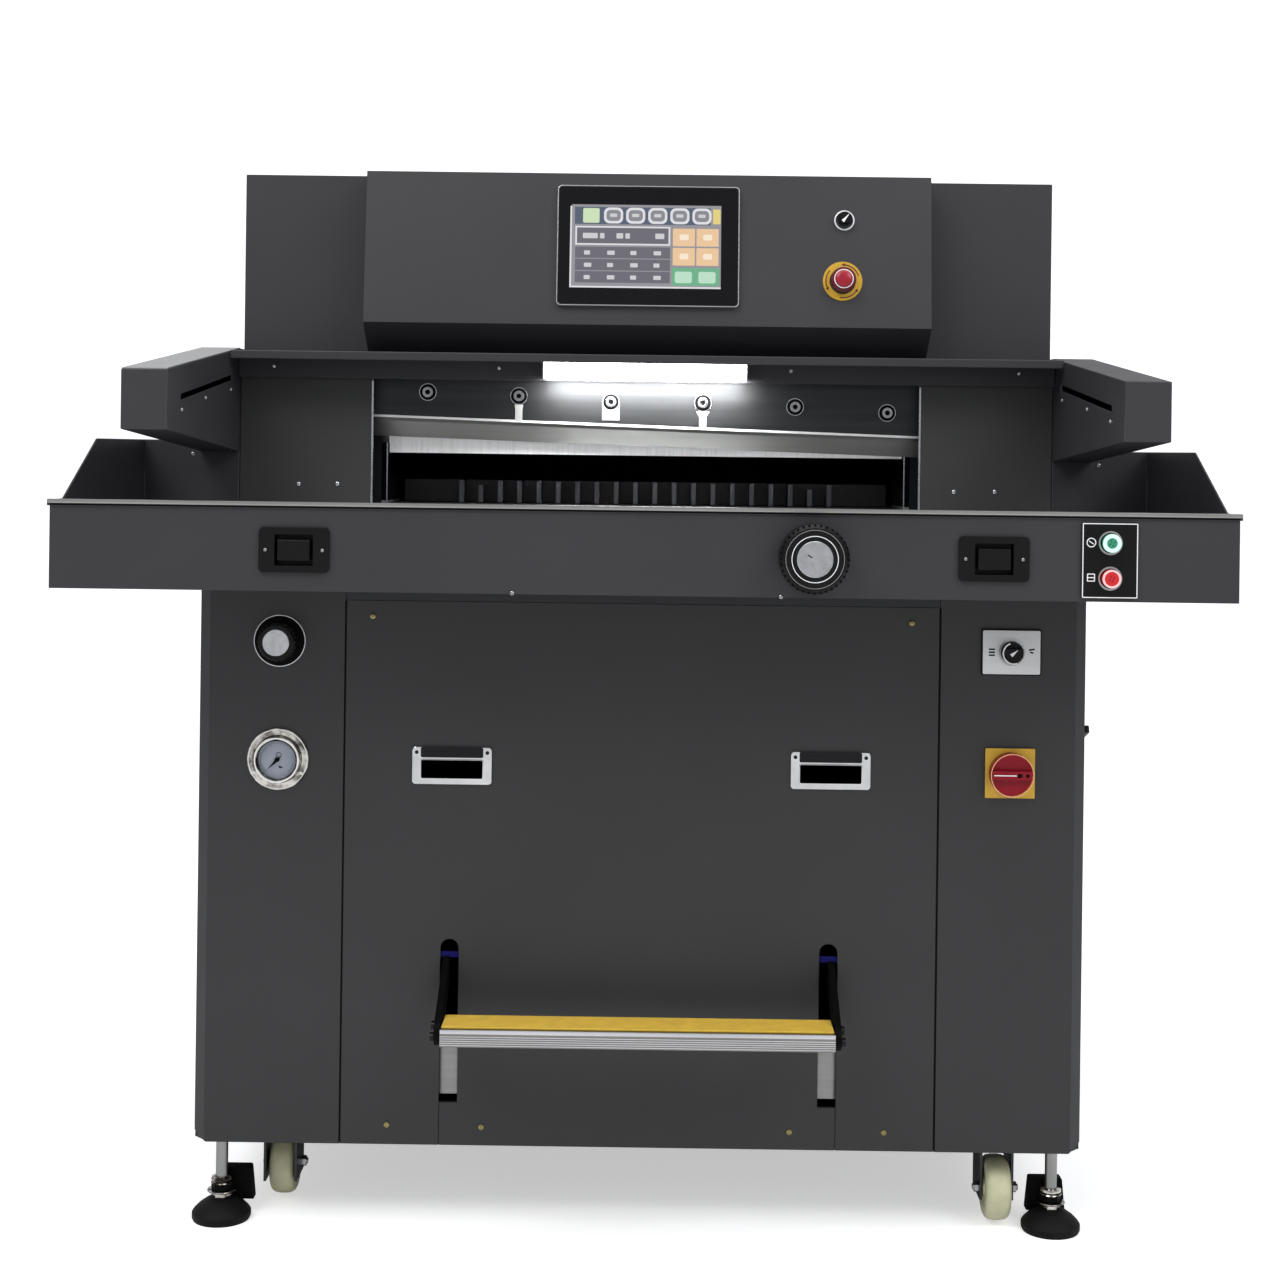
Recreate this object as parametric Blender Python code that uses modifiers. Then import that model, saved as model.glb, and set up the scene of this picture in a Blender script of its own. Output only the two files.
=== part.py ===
"""Hydraulic paper cutter as separate pieces, in metres, +Z up, with the operator's side towards -Y."""
import math

import bmesh
import bpy
from mathutils import Euler, Matrix, Vector

ORIGIN = (0.0, 0.0, 0.0)

# Fits and facets shared by all pieces
GAP = 0.0003
OVERRUN = 0.004
WELD = 0.000001
FLAT_ANGLE = math.radians(0.1)
SHEET = 0.0025
ROUND_STEPS = 24
WHEEL_STEPS = 28
CORNER_STEPS = 4

# Whole machine
FLOOR_CLEARANCE = 0.099
TABLE_HEIGHT = 0.840
HEAD_RISE = 0.4235
CUT_WIDTH = 0.675
MOUTH_MARGIN = 0.0145
CHEEK_WIDTH = 0.168
SIDE_TABLE_WIDTH = 0.127
HANDWHEEL_REACH = 0.040
FRONT_TABLE_LENGTH = 0.399
CABINET_SETBACK = 0.168
CABINET_DEPTH = 0.742
REAR_TABLE_LENGTH = 0.290

OVERALL_DEPTH = HANDWHEEL_REACH + CABINET_SETBACK + CABINET_DEPTH + REAR_TABLE_LENGTH
APRON_FRONT = HANDWHEEL_REACH - OVERALL_DEPTH / 2
APRON_BACK = APRON_FRONT + SHEET
CABINET_FRONT = APRON_FRONT + CABINET_SETBACK
CABINET_REAR = CABINET_FRONT + CABINET_DEPTH
CHEEK_FRONT = APRON_FRONT + FRONT_TABLE_LENGTH
REAR_END = OVERALL_DEPTH / 2
CUT_SIDE = CUT_WIDTH / 2
MOUTH_SIDE = CUT_SIDE + MOUTH_MARGIN
CABINET_SIDE = MOUTH_SIDE + CHEEK_WIDTH
TABLE_SIDE = CABINET_SIDE + SIDE_TABLE_WIDTH
HEAD_TOP = TABLE_HEIGHT + HEAD_RISE

# Table bed, cutting stick and gauge slot
TABLE_THICKNESS = 0.025
TABLE_LIP_THICKNESS = 0.012
TABLE_UNDERSIDE = TABLE_HEIGHT - TABLE_THICKNESS
STICK_WIDTH = 0.010
STICK_DEPTH = 0.008
GAUGE_SLOT_WIDTH = 0.013
COVER_TOP = TABLE_UNDERSIDE - GAP

# Front apron and side tables
RIM_RISE = 0.013
RIM_HEIGHT = 0.007
RIM_OVERHANG = 0.0025
RIM_LIP = 0.002
APRON_HEIGHT = 0.097
APRON_FLANGE = 0.020
WING_RISE = 0.080
WING_LEVEL_LENGTH = 0.226
WING_SLANT_LENGTH = 0.137
RIM_TOP = TABLE_HEIGHT + RIM_RISE
APRON_BOTTOM = RIM_TOP - APRON_HEIGHT
WING_TOP = TABLE_HEIGHT + WING_RISE
WING_SIDE = TABLE_SIDE - SHEET

# Rear table, its side guides and the cover over them
GUIDE_THICKNESS = 0.0075
GUIDE_RISE = 0.080
REAR_TABLE_MARGIN = 0.010
GUSSET_PLACE = 0.250
GUSSET_THICKNESS = 0.006
GUSSET_LENGTH = 0.220
GUSSET_HEIGHT = 0.180

# Portal frame that carries knife and clamp
PORTAL_SETBACK = 0.0583
PORTAL_DEPTH = 0.080
PORTAL_POST_WIDTH = 0.1044
PORTAL_RISE = 0.400
PORTAL_BEAM_HEIGHT = 0.090
PORTAL_FRONT = CHEEK_FRONT + PORTAL_SETBACK
PORTAL_REAR = PORTAL_FRONT + PORTAL_DEPTH
PORTAL_INSIDE = CUT_SIDE + GUIDE_THICKNESS + 2 * GAP
PORTAL_SIDE = PORTAL_INSIDE + PORTAL_POST_WIDTH
PORTAL_TOP = TABLE_HEIGHT + PORTAL_RISE
BEAM_BOTTOM = PORTAL_TOP - PORTAL_BEAM_HEIGHT

# Knife: its rest place is the cutting place moved back along the slide and tilted about the pin
KNIFE_TILT = math.radians(1.6)
KNIFE_SHIFT = 0.040
KNIFE_DROP = 0.0685
KNIFE_PIN_MARGIN = 0.0375
KNIFE_PIN_RISE = 0.080
KNIFE_PIN_RADIUS = 0.008
KNIFE_BACK_GAP = 0.0006
BLADE_THICKNESS = 0.012
BLADE_HEIGHT = 0.066
BLADE_SHOWN = 0.024
BLADE_BEVEL = 0.020
BLADE_LEFT_MARGIN = 0.0625
BLADE_RIGHT_MARGIN = 0.0225
CARRIER_THICKNESS = 0.0337
CARRIER_HEIGHT = 0.080
CARRIER_LEFT_MARGIN = 0.0975
CARRIER_RIGHT_MARGIN = 0.0625
ROLLER_MARGIN = 0.0775
ROLLER_RADIUS = 0.012
GUIDE_SLOT_DEPTH = 0.0225
GUIDE_BLOCK_LENGTH = 0.046
GUIDE_BLOCK_WIDTH = 0.024
ROLLER_PLAY = 0.001
KNIFE_BACK = PORTAL_FRONT - KNIFE_BACK_GAP
KNIFE_PIN_PLACE = CUT_SIDE + KNIFE_PIN_MARGIN
BLADE_LEFT = CUT_SIDE + BLADE_LEFT_MARGIN
BLADE_RIGHT = CUT_SIDE + BLADE_RIGHT_MARGIN
CARRIER_LEFT = CUT_SIDE + CARRIER_LEFT_MARGIN
CARRIER_RIGHT = CUT_SIDE + CARRIER_RIGHT_MARGIN
ROLLER_PLACE = CUT_SIDE + ROLLER_MARGIN
KNIFE_PIN = Vector((KNIFE_PIN_PLACE, KNIFE_BACK, TABLE_HEIGHT + GAP + KNIFE_DROP + KNIFE_PIN_RISE))
SLIDE_ANGLE = math.atan2(KNIFE_SHIFT, KNIFE_DROP)
SLIDE_TRAVEL = math.hypot(KNIFE_SHIFT, KNIFE_DROP)

# Knife cylinder, in line with the guide slot
CYLINDER_RADIUS = 0.020
CYLINDER_LENGTH = 0.200
CYLINDER_START = 0.070
ROD_RADIUS = 0.008
ROD_END_MARGIN = 0.012

# Clamp beam and the bore in the portal for its rod
CLAMP_OPENING = 0.067
CLAMP_HEIGHT = 0.093
CLAMP_DEPTH = 0.072
CLAMP_SIDE_PLAY = 0.002
CLAMP_ROD_RADIUS = 0.014
CLAMP_BOSS_RADIUS = 0.032
CLAMP_BOSS_DROP = 0.100
CLAMP_ROD_LENGTH = 0.130
CLAMP_BORE_MARGIN = 0.012
CLAMP_FRONT = PORTAL_FRONT + GAP
CLAMP_BOTTOM = TABLE_HEIGHT + CLAMP_OPENING
CLAMP_TOP = CLAMP_BOTTOM + CLAMP_HEIGHT

# Back gauge, shown part way along its travel, and its lead screw
GAUGE_OFFSET = 0.093
GAUGE_TOOTH_LENGTH = 0.040
GAUGE_BODY_DEPTH = 0.030
GAUGE_HEIGHT = 0.0295
GAUGE_FLOAT = 0.001
GAUGE_SIDE_PLAY = 0.0075
GAUGE_TOOTH_COUNT = 20
GAUGE_TOOTH_PITCH = 0.0262
GAUGE_TOOTH_WIDTH = 0.006
GAUGE_SHORT_CUT = 0.007
GAUGE_SLOT_PLAY = 0.003
TONGUE_WIDTH = 0.010
NUT_WIDTH = 0.040
NUT_HEIGHT = 0.036
SCREW_DROP = 0.055
SCREW_RADIUS = 0.010
BEARING_LENGTH = 0.024
BEARING_WIDTH = 0.044
BEARING_HEIGHT = 0.050
BEARING_SETBACK = 0.030
GAUGE_SIDE = CUT_SIDE - GAUGE_SIDE_PLAY
GAUGE_FRONT = PORTAL_FRONT + GAUGE_OFFSET
GAUGE_BODY_FRONT = GAUGE_FRONT + GAUGE_TOOTH_LENGTH
GAUGE_BODY_REAR = GAUGE_BODY_FRONT + GAUGE_BODY_DEPTH
SCREW_HEIGHT = TABLE_HEIGHT - SCREW_DROP
BEARING_START = PORTAL_FRONT + BEARING_SETBACK
SCREW_WAY_BOTTOM = SCREW_HEIGHT - BEARING_HEIGHT / 2 - OVERRUN

# Base frame inside the cabinet
BASE_THICKNESS = 0.012
FRAME_PLATE_THICKNESS = 0.020
FRAME_PLATE_INSET = 0.045
FRONT_RAIL_HEIGHT = 0.080
RAIL_THICKNESS = 0.006
BASE_TOP = FLOOR_CLEARANCE + BASE_THICKNESS
DOOR_TOP = COVER_TOP - FRONT_RAIL_HEIGHT

# Cabinet covers
PILLAR_WIDTH = 0.173
CORNER_CHAMFER = 0.014
BOTTOM_CHAMFER_WIDTH = 0.016
BOTTOM_CHAMFER_HEIGHT = 0.010
DOOR_SIDE = CABINET_SIDE - PILLAR_WIDTH

# Foot pedal and the slots that its arms pass through
PEDAL_WIDTH = 0.442
PEDAL_DEPTH = 0.055
PEDAL_HEIGHT = 0.020
PEDAL_FRONT_REACH = 0.112
PEDAL_TOP = 0.266
PEDAL_ARM_THICKNESS = 0.0075
PEDAL_ARM_WIDTH = 0.030
PEDAL_PIVOT_SETBACK = 0.082
PEDAL_PIVOT_RISE = 0.079
PEDAL_SHAFT_RADIUS = 0.010
PEDAL_BEARING_THICKNESS = 0.012
PEDAL_BEARING_INSET = 0.030
PEDAL_BEARING_WIDTH = 0.044
SLOT_WIDTH = 0.021
SLOT_BOTTOM = 0.149
SLOT_TOP = 0.340
LOWER_PANEL_TOP = 0.250
PEDAL_FRONT = CABINET_FRONT - PEDAL_FRONT_REACH
PEDAL_SIDE = PEDAL_WIDTH / 2
PEDAL_PIVOT = (0.0, CABINET_FRONT + PEDAL_PIVOT_SETBACK, PEDAL_TOP + PEDAL_PIVOT_RISE)
SLOT_CENTRE = PEDAL_SIDE + GAP

# Power pack
TANK_WIDTH = 0.460
TANK_DEPTH = 0.300
TANK_HEIGHT = 0.220
TANK_SETBACK = 0.190
TANK_WALL = 0.005
FILLER_RADIUS = 0.022
FILLER_INSET = 0.050
MOTOR_RADIUS = 0.070
MOTOR_LENGTH = 0.240
PUMP_RADIUS = 0.042
PUMP_LENGTH = 0.090
MOTOR_FOOT_WIDTH = 0.120
MOTOR_FOOT_HEIGHT = 0.030

# Head: cheek covers, upper casing, ledge, lamp and console
CHEEK_RISE = 0.182
CASING_SETBACK = 0.019
CASING_DEPTH = 0.272
JAMB_DEPTH = 0.019
CHEEK_REAR_RETURN = 0.060
LEDGE_HEIGHT = 0.011
LEDGE_REACH = 0.071
LEDGE_RAIL_DEPTH = 0.015
LEDGE_RAIL_HEIGHT = 0.021
LAMP_WIDTH = 0.256
LAMP_HEIGHT = 0.027
LAMP_DEPTH = 0.024
CONSOLE_WIDTH = 0.714
CONSOLE_FACE_REACH = 0.072
CONSOLE_FACE_LEAN = 0.021
CONSOLE_FACE_RISE = 0.231
CONSOLE_BACK_RISE = 0.196
CONSOLE_CHIN_DEPTH = 0.050
CASING_WINDOW_WIDTH = 0.640
CASING_WINDOW_MARGIN = 0.030
CASING_FRONT = CHEEK_FRONT + CASING_SETBACK
CASING_REAR = CASING_FRONT + CASING_DEPTH
CHEEK_TOP = TABLE_HEIGHT + CHEEK_RISE
CASING_BOTTOM = CHEEK_TOP + GAP
LEDGE_TOP = CHEEK_TOP + LEDGE_HEIGHT
LEDGE_FRONT = CHEEK_FRONT - LEDGE_REACH
RAIL_FRONT = CHEEK_FRONT - GAP - LEDGE_RAIL_DEPTH
CONSOLE_SIDE = CONSOLE_WIDTH / 2
CONSOLE_FACE_BOTTOM = Vector((0.0, CASING_FRONT - CONSOLE_FACE_REACH, TABLE_HEIGHT + CONSOLE_FACE_RISE))
CONSOLE_LEAN_ANGLE = math.atan2(CONSOLE_FACE_LEAN, HEAD_TOP - CONSOLE_FACE_BOTTOM.z)

# Light-guard arms
ARM_WIDTH = 0.051
ARM_FRONT_LOW = 0.090
ARM_FRONT_HIGH = 0.156
ARM_BACK_LOW = 0.066
ARM_BACK_HIGH = 0.198
ARM_TAIL_LENGTH = 0.080
ARM_TAIL_RISE = 0.005
ARM_SLOT_START = 0.065
ARM_SLOT_END = 0.347
ARM_SLOT_FRONT_RISE = 0.1235
ARM_SLOT_REAR_RISE = 0.1555
ARM_SLOT_HEIGHT = 0.007

# Fittings on the console face: place across, height up the face
SCREEN_HEIGHT_UP = 0.100
SCREEN_WIDTH = 0.226
SCREEN_HEIGHT = 0.150
SCREEN_THICKNESS = 0.006
SCREEN_CORNER = 0.004
DISPLAY_WIDTH = 0.183
DISPLAY_HEIGHT = 0.105
DISPLAY_RECESS = 0.001
KEY_MARGIN = 0.110
KEY_HEIGHT_UP = 0.137
KEY_RADIUS = 0.010
KEY_REACH = 0.012
ESTOP_MARGIN = 0.112
ESTOP_HEIGHT_UP = 0.059
ESTOP_RADIUS = 0.016
ESTOP_COLLAR = 0.008
ESTOP_REACH = 0.022
ESTOP_TRAVEL = 0.004
STEM_RADIUS = 0.006
STEM_LENGTH = 0.016
KEY_PLACE = CONSOLE_SIDE - KEY_MARGIN
ESTOP_PLACE = CONSOLE_SIDE - ESTOP_MARGIN

# Fittings on the apron: place across, drop below the table's height
CUT_BUTTON_MARGIN = 0.267
CUT_BUTTON_DROP = 0.039
CUT_PLATE_WIDTH = 0.0765
CUT_PLATE_HEIGHT = 0.049
CUT_PLATE_THICKNESS = 0.004
CUT_PLATE_CORNER = 0.005
CUT_WINDOW_WIDTH = 0.042
CUT_WINDOW_HEIGHT = 0.034
CUT_CUP_DEPTH = 0.014
CUT_BUTTON_WIDTH = 0.035
CUT_BUTTON_HEIGHT = 0.0225
CUT_BUTTON_TRAVEL = 0.004
CUT_BUTTON_PROUD = 0.002
HANDWHEEL_PLACE = 0.183
HANDWHEEL_DROP = 0.040
HANDWHEEL_RADIUS = 0.0377
HANDWHEEL_HUB_RADIUS = 0.026
HANDWHEEL_HUB_LENGTH = 0.010
PUSH_MARGIN = 0.1415
PUSH_PLATE_WIDTH = 0.061
PUSH_PLATE_HEIGHT = 0.082
PUSH_PLATE_DROP = 0.039
PUSH_PLATE_THICKNESS = 0.003
PUSH_SPACING = 0.0385
PUSH_RADIUS = 0.010
PUSH_REACH = 0.010
PUSH_TRAVEL = 0.004
CUT_BUTTON_PLACE = TABLE_SIDE - CUT_BUTTON_MARGIN
PUSH_PLACE = TABLE_SIDE - PUSH_MARGIN

# Fittings on the cabinet front: place across, height over the floor
PRESSURE_MARGIN = 0.0955
PRESSURE_DROP = 0.154
PRESSURE_RADIUS = 0.026
PRESSURE_REACH = 0.026
GAUGE_DIAL_DROP = 0.292
GAUGE_FLANGE_RADIUS = 0.036
GAUGE_FLANGE_THICKNESS = 0.003
GAUGE_BEZEL_RADIUS = 0.027
GAUGE_BEZEL_REACH = 0.012
GAUGE_DIAL_RADIUS = 0.0225
GAUGE_DIAL_RECESS = 0.007
GAUGE_CASE_RADIUS = 0.025
GAUGE_CASE_DEPTH = 0.028
NEEDLE_LENGTH = 0.017
NEEDLE_TAIL = 0.006
NEEDLE_WIDTH = 0.0020
NEEDLE_THICKNESS = 0.001
NEEDLE_LIFT = 0.0008
NEEDLE_REST = math.radians(-135.0)
SWITCH_MARGIN = 0.090
SELECTOR_DROP = 0.156
SELECTOR_PLATE_WIDTH = 0.068
SELECTOR_PLATE_HEIGHT = 0.052
SELECTOR_RADIUS = 0.013
SELECTOR_REACH = 0.018
SWITCH_PLATE_THICKNESS = 0.003
MAIN_SWITCH_DROP = 0.297
MAIN_PLATE_SIZE = 0.058
MAIN_SWITCH_RADIUS = 0.025
MAIN_SWITCH_REACH = 0.022
GRIP_WIDTH = 0.010
GRIP_HEIGHT = 0.008
HANDLE_MARGIN = 0.126
HANDLE_DROP = 0.297
HANDLE_WIDTH = 0.093
HANDLE_TALL = 0.0436
HANDLE_FLANGE = 0.003
HANDLE_CORNER = 0.004
HANDLE_CUP_WIDTH = 0.072
HANDLE_CUP_TALL = 0.0216
HANDLE_CUP_DEPTH = 0.024
HANDLE_CUP_DROP = 0.004
PRESSURE_PLACE = CABINET_SIDE - PRESSURE_MARGIN
SWITCH_PLACE = CABINET_SIDE - SWITCH_MARGIN
PRESSURE_HEIGHT = TABLE_HEIGHT - PRESSURE_DROP
GAUGE_DIAL_HEIGHT = TABLE_HEIGHT - GAUGE_DIAL_DROP
SELECTOR_HEIGHT = TABLE_HEIGHT - SELECTOR_DROP
MAIN_SWITCH_HEIGHT = TABLE_HEIGHT - MAIN_SWITCH_DROP
HANDLE_PLACE = DOOR_SIDE - HANDLE_MARGIN
HANDLE_HEIGHT = TABLE_HEIGHT - HANDLE_DROP

# Latch on the right side cover
LATCH_BACK = 0.100
LATCH_HEIGHT = 0.575
LATCH_RADIUS = 0.012
LATCH_REACH = 0.003

# Feet and wheels
FOOT_MARGIN = 0.030
FOOT_SETBACK = 0.029
FOOT_REAR_MARGIN = 0.045
PAD_RADIUS = 0.0345
PAD_EDGE = 0.008
PAD_TOP_RADIUS = 0.022
PAD_HEIGHT = 0.036
FOOT_NUT_RADIUS = 0.012
FOOT_NUT_HEIGHT = 0.012
FOOT_STEM_RADIUS = 0.008
WHEEL_MARGIN = 0.092
WHEEL_SETBACK = 0.080
WHEEL_REAR_MARGIN = 0.090
WHEEL_RADIUS = 0.0375
WHEEL_WIDTH = 0.030
WHEEL_FLOOR_GAP = 0.004
WHEEL_TRAIL = 0.028
WHEEL_TREAD_ROUND = 0.005
FORK_SIDE_PLAY = 0.002
FORK_THICKNESS = 0.003
FORK_CROWN_RADIUS = 0.024
FORK_CROWN_HEIGHT = 0.010
FORK_ARM_WIDTH = 0.024
AXLE_RADIUS = 0.005
FOOT_PLACE = CABINET_SIDE - FOOT_MARGIN
WHEEL_PLACE = CABINET_SIDE - WHEEL_MARGIN
FOOT_FRONT = CABINET_FRONT + FOOT_SETBACK
FOOT_REAR = CABINET_REAR - FOOT_REAR_MARGIN
WHEEL_FRONT = CABINET_FRONT + WHEEL_SETBACK
WHEEL_REAR = CABINET_REAR - WHEEL_REAR_MARGIN
AXLE_HEIGHT = WHEEL_FLOOR_GAP + WHEEL_RADIUS

# Finishes: colour, roughness, metallic
CHARCOAL_PAINT = ((0.065, 0.064, 0.068), 0.55, 0.0)
DARK_PAINT = ((0.030, 0.032, 0.038), 0.60, 0.0)
BLACK_PLASTIC = ((0.012, 0.012, 0.013), 0.40, 0.0)
BRUSHED_STEEL = ((0.45, 0.45, 0.46), 0.35, 1.0)
CAST_IRON = ((0.10, 0.10, 0.105), 0.55, 0.6)
CHROME = ((0.75, 0.75, 0.76), 0.12, 1.0)
ALUMINIUM = ((0.60, 0.60, 0.61), 0.30, 1.0)
BLUE_PAINT = ((0.010, 0.018, 0.11), 0.40, 0.0)
RED_PLASTIC = ((0.40, 0.012, 0.030), 0.35, 0.0)
GREEN_PLASTIC = ((0.05, 0.55, 0.25), 0.35, 0.0)
WHITE_PLASTIC = ((0.85, 0.86, 0.90), 0.40, 0.0)
CREAM_PLASTIC = ((0.48, 0.46, 0.34), 0.45, 0.0)
BLACK_RUBBER = ((0.010, 0.010, 0.010), 0.80, 0.0)
SCREEN_GLASS = ((0.020, 0.022, 0.030), 0.15, 0.0)


def clear_scene():
    for item in list(bpy.data.objects):
        bpy.data.objects.remove(item, do_unlink=True)


def new_collection(name):
    group = bpy.data.collections.new(name)
    bpy.context.scene.collection.children.link(group)
    return group


clear_scene()
PARTS = new_collection("hydraulic_paper_cutter")
CUTTERS = new_collection("cutters")


def paint(item, finish):
    colour, roughness, metallic = finish
    surface = bpy.data.materials.new(item.name + "_finish")
    surface.use_nodes = True
    shader = surface.node_tree.nodes["Principled BSDF"]
    shader.inputs["Base Color"].default_value = (*colour, 1.0)
    shader.inputs["Roughness"].default_value = roughness
    shader.inputs["Metallic"].default_value = metallic
    surface.diffuse_color = (*colour, 1.0)
    item.data.materials.clear()
    item.data.materials.append(surface)
    return item


def mesh_object(name, shape, origin, parent):
    mesh = bpy.data.meshes.new(name)
    shape.to_mesh(mesh)
    shape.free()
    item = bpy.data.objects.new(name, mesh)
    PARTS.objects.link(item)
    item.parent = parent
    item.location = origin
    return item


def box(name, corner, opposite, origin=ORIGIN, parent=None):
    """A block between two opposite corners."""
    low = Vector([min(pair) for pair in zip(corner, opposite)])
    high = Vector([max(pair) for pair in zip(corner, opposite)])
    shape = bmesh.new()
    bmesh.ops.create_cube(shape, size=1.0)
    spread = Matrix.Diagonal((*(high - low), 1.0))
    shift = Matrix.Translation((low + high) / 2 - Vector(origin))
    bmesh.ops.transform(shape, matrix=shift @ spread, verts=shape.verts)
    return mesh_object(name, shape, origin, parent)


def plane_axes(plane):
    """How an outline's plane is turned, its own two axes, and the axis across it."""
    if plane == "front":
        return Euler((math.pi / 2, 0.0, 0.0)), 0, 2, 1
    if plane == "side":
        return Euler((math.pi / 2, 0.0, math.pi / 2)), 1, 2, 0
    return Euler((0.0, 0.0, 0.0)), 0, 1, 2


def prism(name, outlines, plane, start, end, origin=ORIGIN, parent=None):
    """Closed outlines, the outer one first, filled and drawn out from start to end across the plane."""
    turn, first, second, across = plane_axes(plane)
    curve = bpy.data.curves.new(name, "CURVE")
    curve.dimensions = "2D"
    curve.fill_mode = "BOTH"
    curve.extrude = abs(end - start) / 2
    for outline in outlines:
        spline = curve.splines.new("POLY")
        spline.points.add(len(outline) - 1)
        spline.use_cyclic_u = True
        for point, place in zip(spline.points, outline):
            point.co = (place[0] - origin[first], place[1] - origin[second], 0.0, 1.0)
    flat = bpy.data.objects.new(name + "_outline", curve)
    PARTS.objects.link(flat)
    depsgraph = bpy.context.evaluated_depsgraph_get()
    mesh = bpy.data.meshes.new_from_object(flat.evaluated_get(depsgraph))
    shape = bmesh.new()
    shape.from_mesh(mesh)
    bmesh.ops.remove_doubles(shape, verts=shape.verts, dist=WELD)
    bmesh.ops.dissolve_limit(shape, angle_limit=FLAT_ANGLE, verts=shape.verts, edges=shape.edges)
    bpy.data.objects.remove(flat)
    place = list(origin)
    place[across] = (start + end) / 2
    item = mesh_object(name, shape, place, parent)
    item.rotation_euler = turn
    return item


def turned(name, profile, steps, origin=ORIGIN, rotation=ORIGIN, parent=None):
    """A profile of (radius, height) pairs, from the top down its outer side, turned about local Z."""
    shape = bmesh.new()
    points = [shape.verts.new((radius, 0.0, height)) for radius, height in profile]
    for upper, lower in zip(points, points[1:]):
        shape.edges.new((upper, lower))
    item = mesh_object(name, shape, origin, parent)
    item.rotation_euler = rotation
    spin = item.modifiers.new("turn", "SCREW")
    spin.steps = steps
    spin.render_steps = steps
    spin.use_merge_vertices = True
    spin.merge_threshold = WELD
    spin.use_smooth_shade = True
    return item


def rod(name, radius, start, end, steps=ROUND_STEPS, parent=None):
    """A round bar between two points."""
    start, end = Vector(start), Vector(end)
    length = (end - start).length
    profile = [(0.0, length), (radius, length), (radius, 0.0), (0.0, 0.0)]
    turn = (end - start).to_track_quat("Z", "Y").to_euler()
    return turned(name, profile, steps, start, turn, parent)


def combine(item, tool, operation):
    step = item.modifiers.new(tool.name, "BOOLEAN")
    step.operation = operation
    step.object = tool
    PARTS.objects.unlink(tool)
    CUTTERS.objects.link(tool)
    tool.hide_render = True
    tool.display_type = "WIRE"
    return item


def cut(item, tool):
    return combine(item, tool, "DIFFERENCE")


def join(item, tool):
    return combine(item, tool, "UNION")


def arc(centre, radius, start, end, steps):
    """Points on an arc, angles in degrees."""
    angles = [math.radians(start + (end - start) * step / steps) for step in range(steps + 1)]
    return [(centre[0] + radius * math.cos(turn), centre[1] + radius * math.sin(turn)) for turn in angles]


def rectangle(low, high):
    return [low, (high[0], low[1]), high, (low[0], high[1])]


def rounded(width, height, radius, centre=(0.0, 0.0)):
    """A rectangle with round corners about its centre."""
    across = width / 2 - radius
    up = height / 2 - radius
    corners = [(across, -up, -90.0), (across, up, 0.0), (-across, up, 90.0), (-across, -up, 180.0)]
    points = []
    for side, rise, start in corners:
        middle = (centre[0] + side, centre[1] + rise)
        points += arc(middle, radius, start, start + 90.0, CORNER_STEPS)
    return points


def panel(name, place, rotation):
    """An empty whose local X runs across, local Y up and local Z outwards from a face."""
    item = bpy.data.objects.new(name, None)
    PARTS.objects.link(item)
    item.location = place
    item.rotation_euler = rotation
    return item


APRON_PANEL = panel("apron_face", (0.0, APRON_FRONT, TABLE_HEIGHT), (math.pi / 2, 0.0, 0.0))
CABINET_PANEL = panel("cabinet_face", (0.0, CABINET_FRONT, 0.0), (math.pi / 2, 0.0, 0.0))
CONSOLE_PANEL = panel("console_face", CONSOLE_FACE_BOTTOM, (math.pi / 2 - CONSOLE_LEAN_ANGLE, 0.0, 0.0))


def offset_point(before, point, after, distance):
    """A corner moved to the left of its path by a distance on both of its sides."""
    along = [side.normalized() for side in (point - before, after - point) if side.length > WELD]
    normals = [Vector((-side.y, side.x)) for side in along]
    if len(normals) == 1:
        return point + normals[0] * distance
    middle = (normals[0] + normals[1]).normalized()
    return point + middle * (distance / middle.dot(normals[0]))


def offset_path(points, distance):
    """An open path moved to its left."""
    path = [Vector(point) for point in points]
    padded = [path[0]] + path + [path[-1]]
    return [offset_point(*padded[index:index + 3], distance) for index in range(len(path))]


def inset(points, distance):
    """A closed counterclockwise outline drawn in on all sides."""
    path = [Vector(point) for point in points]
    ring = [path[-1]] + path + [path[0]]
    return [offset_point(*ring[index:index + 3], distance) for index in range(len(path))]


def folded(path):
    """The outline of a sheet whose thickness lies to the left of its path."""
    return [tuple(point) for point in path] + [tuple(point) for point in reversed(offset_path(path, SHEET))]


def strip(start, end, half_width):
    """A rectangle along the line from start to end."""
    start, end = Vector(start), Vector(end)
    along = (end - start).normalized()
    across = Vector((-along.y, along.x)) * half_width
    return [tuple(point) for point in (start + across, start - across, end - across, end + across)]


def capsule(start, end, radius):
    """A strip with round ends."""
    run = Vector(end) - Vector(start)
    heading = math.degrees(math.atan2(run.y, run.x))
    half_steps = ROUND_STEPS // 2
    points = arc(start, radius, heading + 90.0, heading + 270.0, half_steps)
    return points + arc(end, radius, heading - 90.0, heading + 90.0, half_steps)


def finger_row(name, front, rear, width, bottom, top):
    """One block for each finger of the back gauge."""
    left = tooth_centre(0) - width / 2
    row = box(name, (left, front, bottom), (left + width, rear, top))
    spread = row.modifiers.new("fingers", "ARRAY")
    spread.count = GAUGE_TOOTH_COUNT
    spread.use_relative_offset = False
    spread.use_constant_offset = True
    spread.constant_offset_displace = (GAUGE_TOOTH_PITCH, 0.0, 0.0)
    return row


def tooth_centre(tooth):
    return (tooth - (GAUGE_TOOTH_COUNT - 1) / 2) * GAUGE_TOOTH_PITCH


def stem_hole(item, parent, place, height, radius, depth=SHEET):
    """A round hole through a face, bored along the face's own Z."""
    start = (place, height, OVERRUN)
    end = (place, height, -depth - OVERRUN)
    return cut(item, rod("stem_hole", radius + GAP, end, start, parent=parent))


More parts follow.
